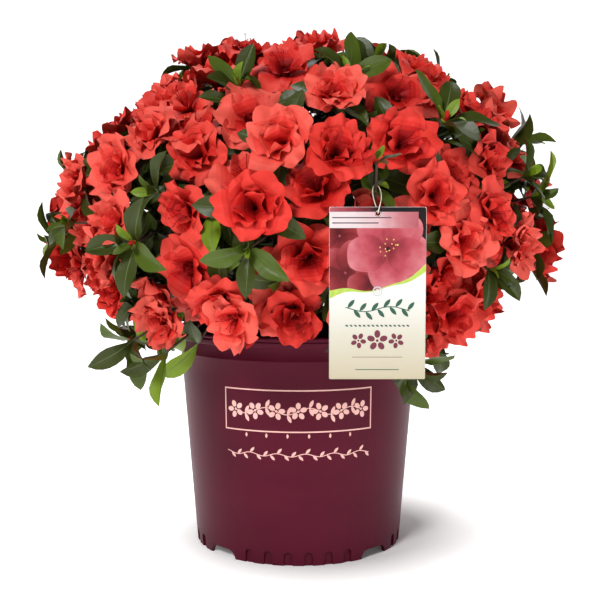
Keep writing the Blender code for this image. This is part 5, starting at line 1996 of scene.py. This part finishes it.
# %% Blossoms of the picture
TAG_BLOSSOMS = (
    # middle, size, first turn, ink
    ((-0.033, 0.050), 0.024, 0.2, "wine"),
    ((-0.028, 0.018), 0.026, 0.9, "wine"),
    ((-0.006, 0.010), 0.018, 0.4, "wine"),
    ((0.036, 0.026), 0.022, 0.0, "rose"),
    ((0.009, 0.039), 0.033, 0.55, "rose"),
)
LAYING_ORDER = (0, 2, 4, 1, 3)  # so that each petal lies over one neighbour and under the other
PRINTED_AWAY = 0.56
PRINTED_HALF = (0.50, 0.52)
PRINTED_WAVE = (0.07, 9)  # depth and number of the waves in a petal's edge
PETAL_STEP = 0.000012  # from one printed petal to the next one over it
PETALS_TOP = TAG_HEIGHT / 2 - 0.0081

layers = {ink: bmesh.new() for ink in petal_inks}
lift = 0.0
for middle, size, turn, ink in TAG_BLOSSOMS:
    for k in LAYING_ORDER:
        lean = turn + k * math.tau / BLOSSOM_PETALS
        way = heading_of(lean)
        ring = drawn_shape(layers[ink], Vector(middle) + way * PRINTED_AWAY * size,
                           (PRINTED_HALF[0] * size, PRINTED_HALF[1] * size), lean, 0.0, 24)
        lift += PETAL_STEP
        for vert in ring:
            reach = (vert.co.xy - Vector(middle)).length / size
            wave = math.sin(PRINTED_WAVE[1] * vert.co.x / size + k)
            vert.co.xy += way * (PRINTED_WAVE[0] * size * wave * reach)
            vert.co.z = lift
print("printed petals:", sum(len(bm.faces) for bm in layers.values()))

# %% Trim the blossoms to the card
for ink, bm in layers.items():
    for place, way in (((-HALF, 0, 0), (-1, 0, 0)), ((HALF, 0, 0), (1, 0, 0)),
                       ((0, PETALS_TOP, 0), (0, 1, 0))):
        bmesh.ops.bisect_plane(bm, geom=bm.verts[:] + bm.edges[:] + bm.faces[:],
                               plane_co=place, plane_no=way, clear_outer=True)
    tag_print(bm, "tag_petals_" + ink, petal_inks[ink], "petals")

# %% Pollen
POLLEN_GRAINS = 14
POLLEN_REACH = (0.05, 0.30)
POLLEN_HALF = (0.0005, 0.0007)
POLLEN_SEED = 12

bm = bmesh.new()
rng = random.Random(POLLEN_SEED)
middle, size, _, _ = TAG_BLOSSOMS[-1]
for _ in range(POLLEN_GRAINS):
    turn = rng.uniform(0.0, math.tau)
    reach = size * rng.uniform(*POLLEN_REACH)
    drawn_shape(bm, (middle[0] + reach * math.cos(turn), middle[1] + reach * math.sin(turn)),
                POLLEN_HALF, turn, 0.0, 8)
pollen_ink = ink_finish("pollen yellow print", "#d9a94f", "#f1d48c", roughness=0.34)
tag_print(bm, "tag_pollen", pollen_ink, "pollen")

# %% Tag foot and band
FOOT_INSET = 0.0006
BAND_WIDTH = (0.0008, 0.0062)  # at its middle, and how much more at either end

bm = bmesh.new()
shaped_panel(bm, lambda x: FOOT_INSET - TAG_HEIGHT / 2, picture_foot)
tag_print(bm, "tag_foot_board", board, "foot")

bm = bmesh.new()
shaped_panel(bm, lambda x: picture_foot(x) - BAND_WIDTH[0] - BAND_WIDTH[1] * (x / HALF) ** 2,
             picture_foot)
leaf_ink = ink_finish("young leaf green print", "#8fae35", "#c3d367", roughness=0.34)
tag_print(bm, "tag_green_band", leaf_ink, "band")

# %% Tag strip
STRIP = (TAG_HEIGHT / 2 - 0.0182, TAG_HEIGHT / 2 - 0.0042)
STRIP_SHARE = 0.84  # how far the strip reaches to the right
STRIP_STEPS = 160  # enough for a round edge below the hole
RULE_WIDTH = 0.0010
STRIP_RULES = ((0.0092, 0.0115), (0.0138, 0.0005))  # down from the card's top, right end


def strip_top(x):
    """Upper edge of the pale strip, which passes below the hole."""
    aside = (HOLE_EDGE + 2 * PRINT_INSET) ** 2 - x * x
    return min(STRIP[1], HOLE_PLACE.y - aside ** 0.5) if aside > 0.0 else STRIP[1]


bm = bmesh.new()
shaped_panel(bm, lambda x: STRIP[0], strip_top, STRIP_SHARE * HALF, STRIP_STEPS)
tag_print(bm, "tag_strip", strip_ink, "band")

bm = bmesh.new()
for down, right in STRIP_RULES:
    drawn_line(bm, level_line(TAG_HEIGHT / 2 - down, (-0.0395, -0.02, right)), RULE_WIDTH)
slate_ink = ink_finish("slate grey print", "#4a3d42", "#5a4c51", roughness=0.34)
tag_print(bm, "tag_strip_rules", slate_ink, "rules")

# %% Leafy line of the tag
TAG_LINE = (-0.0135, 0.0022, math.tau / 140)
TAG_LINE_REACH = 0.028
TAG_LINE_WIDTH = 0.0008
TAG_LEAVES = 11
TAG_LEAF_PITCH = 0.0052
TAG_LEAF = (0.7, 0.0048, (0.0018, 0.0046), 12)
DOTS = 15
DOT_PITCH = 0.0038
DOT_ROW = -0.0280
DOT_HALF = (0.0008, 0.0015)
DOT_TURN = 1.1
LOW_RULE = (-0.0665, 0.019, 0.0007)  # height, half length and width

bm = bmesh.new()
drawn_line(bm, [waving(TAG_LINE, x) for x in np.linspace(-TAG_LINE_REACH, TAG_LINE_REACH, 31)],
           TAG_LINE_WIDTH)
for k in range(-(TAG_LEAVES // 2), TAG_LEAVES // 2 + 1):
    drawn_leaf(bm, waving(TAG_LINE, k * TAG_LEAF_PITCH), 1 if k % 2 else -1, *TAG_LEAF)
for k in range(-(DOTS // 2), DOTS // 2 + 1):
    drawn_shape(bm, (k * DOT_PITCH, DOT_ROW), DOT_HALF, DOT_TURN, LEAF_POINT, 10)
drawn_line(bm, level_line(LOW_RULE[0], (-LOW_RULE[1], 0.0, LOW_RULE[1])), LOW_RULE[2])
pine_ink = ink_finish("pine green print", "#1f4a38", "#2c5b46", roughness=0.34)
tag_print(bm, "tag_leaf_line", pine_ink, "lines")

# %% Blossom row and ring of the tag
BLOSSOM_ROW = ((-0.0165, 0.0072), (0.0, 0.0096), (0.0165, 0.0072))  # place across and size
BLOSSOM_ROW_HEIGHT = -0.0410
ROW_TURN = 30  # turns each blossom of the row by its own angle
FINE_RULE = (-0.0555, 0.022, 0.0004)
RING_MIDDLE = (0.0, 0.0020)
RINGS = ((0.0043, 0.0011), (0.0020, 0.0007))  # radius and width

bm = bmesh.new()
for x, size in BLOSSOM_ROW:
    drawn_blossom(bm, (x, BLOSSOM_ROW_HEIGHT), size, x * ROW_TURN)
drawn_line(bm, level_line(FINE_RULE[0], (-FINE_RULE[1], 0.0, FINE_RULE[1])), FINE_RULE[2])
wine_ink = ink_finish("wine red print", "#5c1c30", "#74283e", roughness=0.34)
tag_print(bm, "tag_blossom_row", wine_ink, "lines")

bm = bmesh.new()
for radius, width in RINGS:
    drawn_ring(bm, RING_MIDDLE, radius, width)
grey_ink = ink_finish("silver grey print", "#a9a9ad", "#cfcfd3", roughness=0.30)
tag_print(bm, "tag_ring", grey_ink, "ring")

# %% [markdown]
# ## The potting mix
# The mix is composted bark.  Its body stays as it is in the construction model, with a crumbly
# finish, and a few hundred loose chips lie on it, half sunk, so that its surface is not a disc.

# %% Mix finish
def mix_finish(name, *codes):
    """Composted bark: crumbs of a few millimetres, from near black to fox brown."""
    return finish(name, (
        OBJECT_PLACE,
        ("crumbs", "TexVoronoi", {"Vector": "place.Object", "Scale": 260.0}),
        ("dust", "TexNoise", {"Vector": "place.Object", "Scale": 120.0, "Detail": 5.0}),
        ("tone", "ValToRGB", {"Fac": "dust.Fac"}, [("color_ramp", codes)]),
        ("bump", "Bump", {"Strength": 0.9, "Distance": 0.002, "Height": "crumbs.Distance"}),
    ), {"Base Color": "tone.Color", "Roughness": 0.94, "Normal": "bump.Normal"})


finish_node("potting_mix", mix_finish("composted bark mix", "#120c08", "#2f2118", "#4c3726"))

# %% Bark chips
CHIPS = 520
CHIP_SEED = 31
CHIP_RING = (0.018, 0.108)  # nearest reach to the axis and the width of the ring
MOUND_WIDTH = 0.115  # the mix falls from its middle mound over this width
CHIP_LENGTH = (0.0025, 0.0075)
CHIP_WIDTH = (0.35, 0.7)  # of its length
CHIP_HEIGHT = 0.3
CHIP_LEAN = 0.6
CHIP_LUMPS = (0.5, 1.7)  # depth and pitch

chip_mesh = bmesh.new()
bmesh.ops.create_icosphere(chip_mesh, subdivisions=1, radius=1.0)
for vert in chip_mesh.verts:
    vert.co *= 1.0 + CHIP_LUMPS[0] * noise.noise(vert.co * CHIP_LUMPS[1])
chip = Shape(chip_mesh)
chip_heap = Heap()
rng = random.Random(CHIP_SEED)
for _ in range(CHIPS):
    reach = CHIP_RING[0] + CHIP_RING[1] * rng.random() ** 0.5
    turn = rng.uniform(0.0, math.tau)
    surface = MIX_SURFACE + MIX_MOUND * (1.0 - (reach - CHIP_RING[0]) / MOUND_WIDTH)
    length = rng.uniform(*CHIP_LENGTH)
    rows = facing(tilted(Vector((0, 0, 1)), rng, CHIP_LEAN), rng.uniform(0.0, math.tau))
    size = np.array((length, length * rng.uniform(*CHIP_WIDTH), length * CHIP_HEIGHT))
    chip_heap.add(chip, rows, (reach * math.cos(turn), reach * math.sin(turn), surface), size)
chip_heap.join("bark_chips", [mix_finish("loose bark chips", "#2a1c12", "#54392a", "#80604a")],
               "potting_mix")
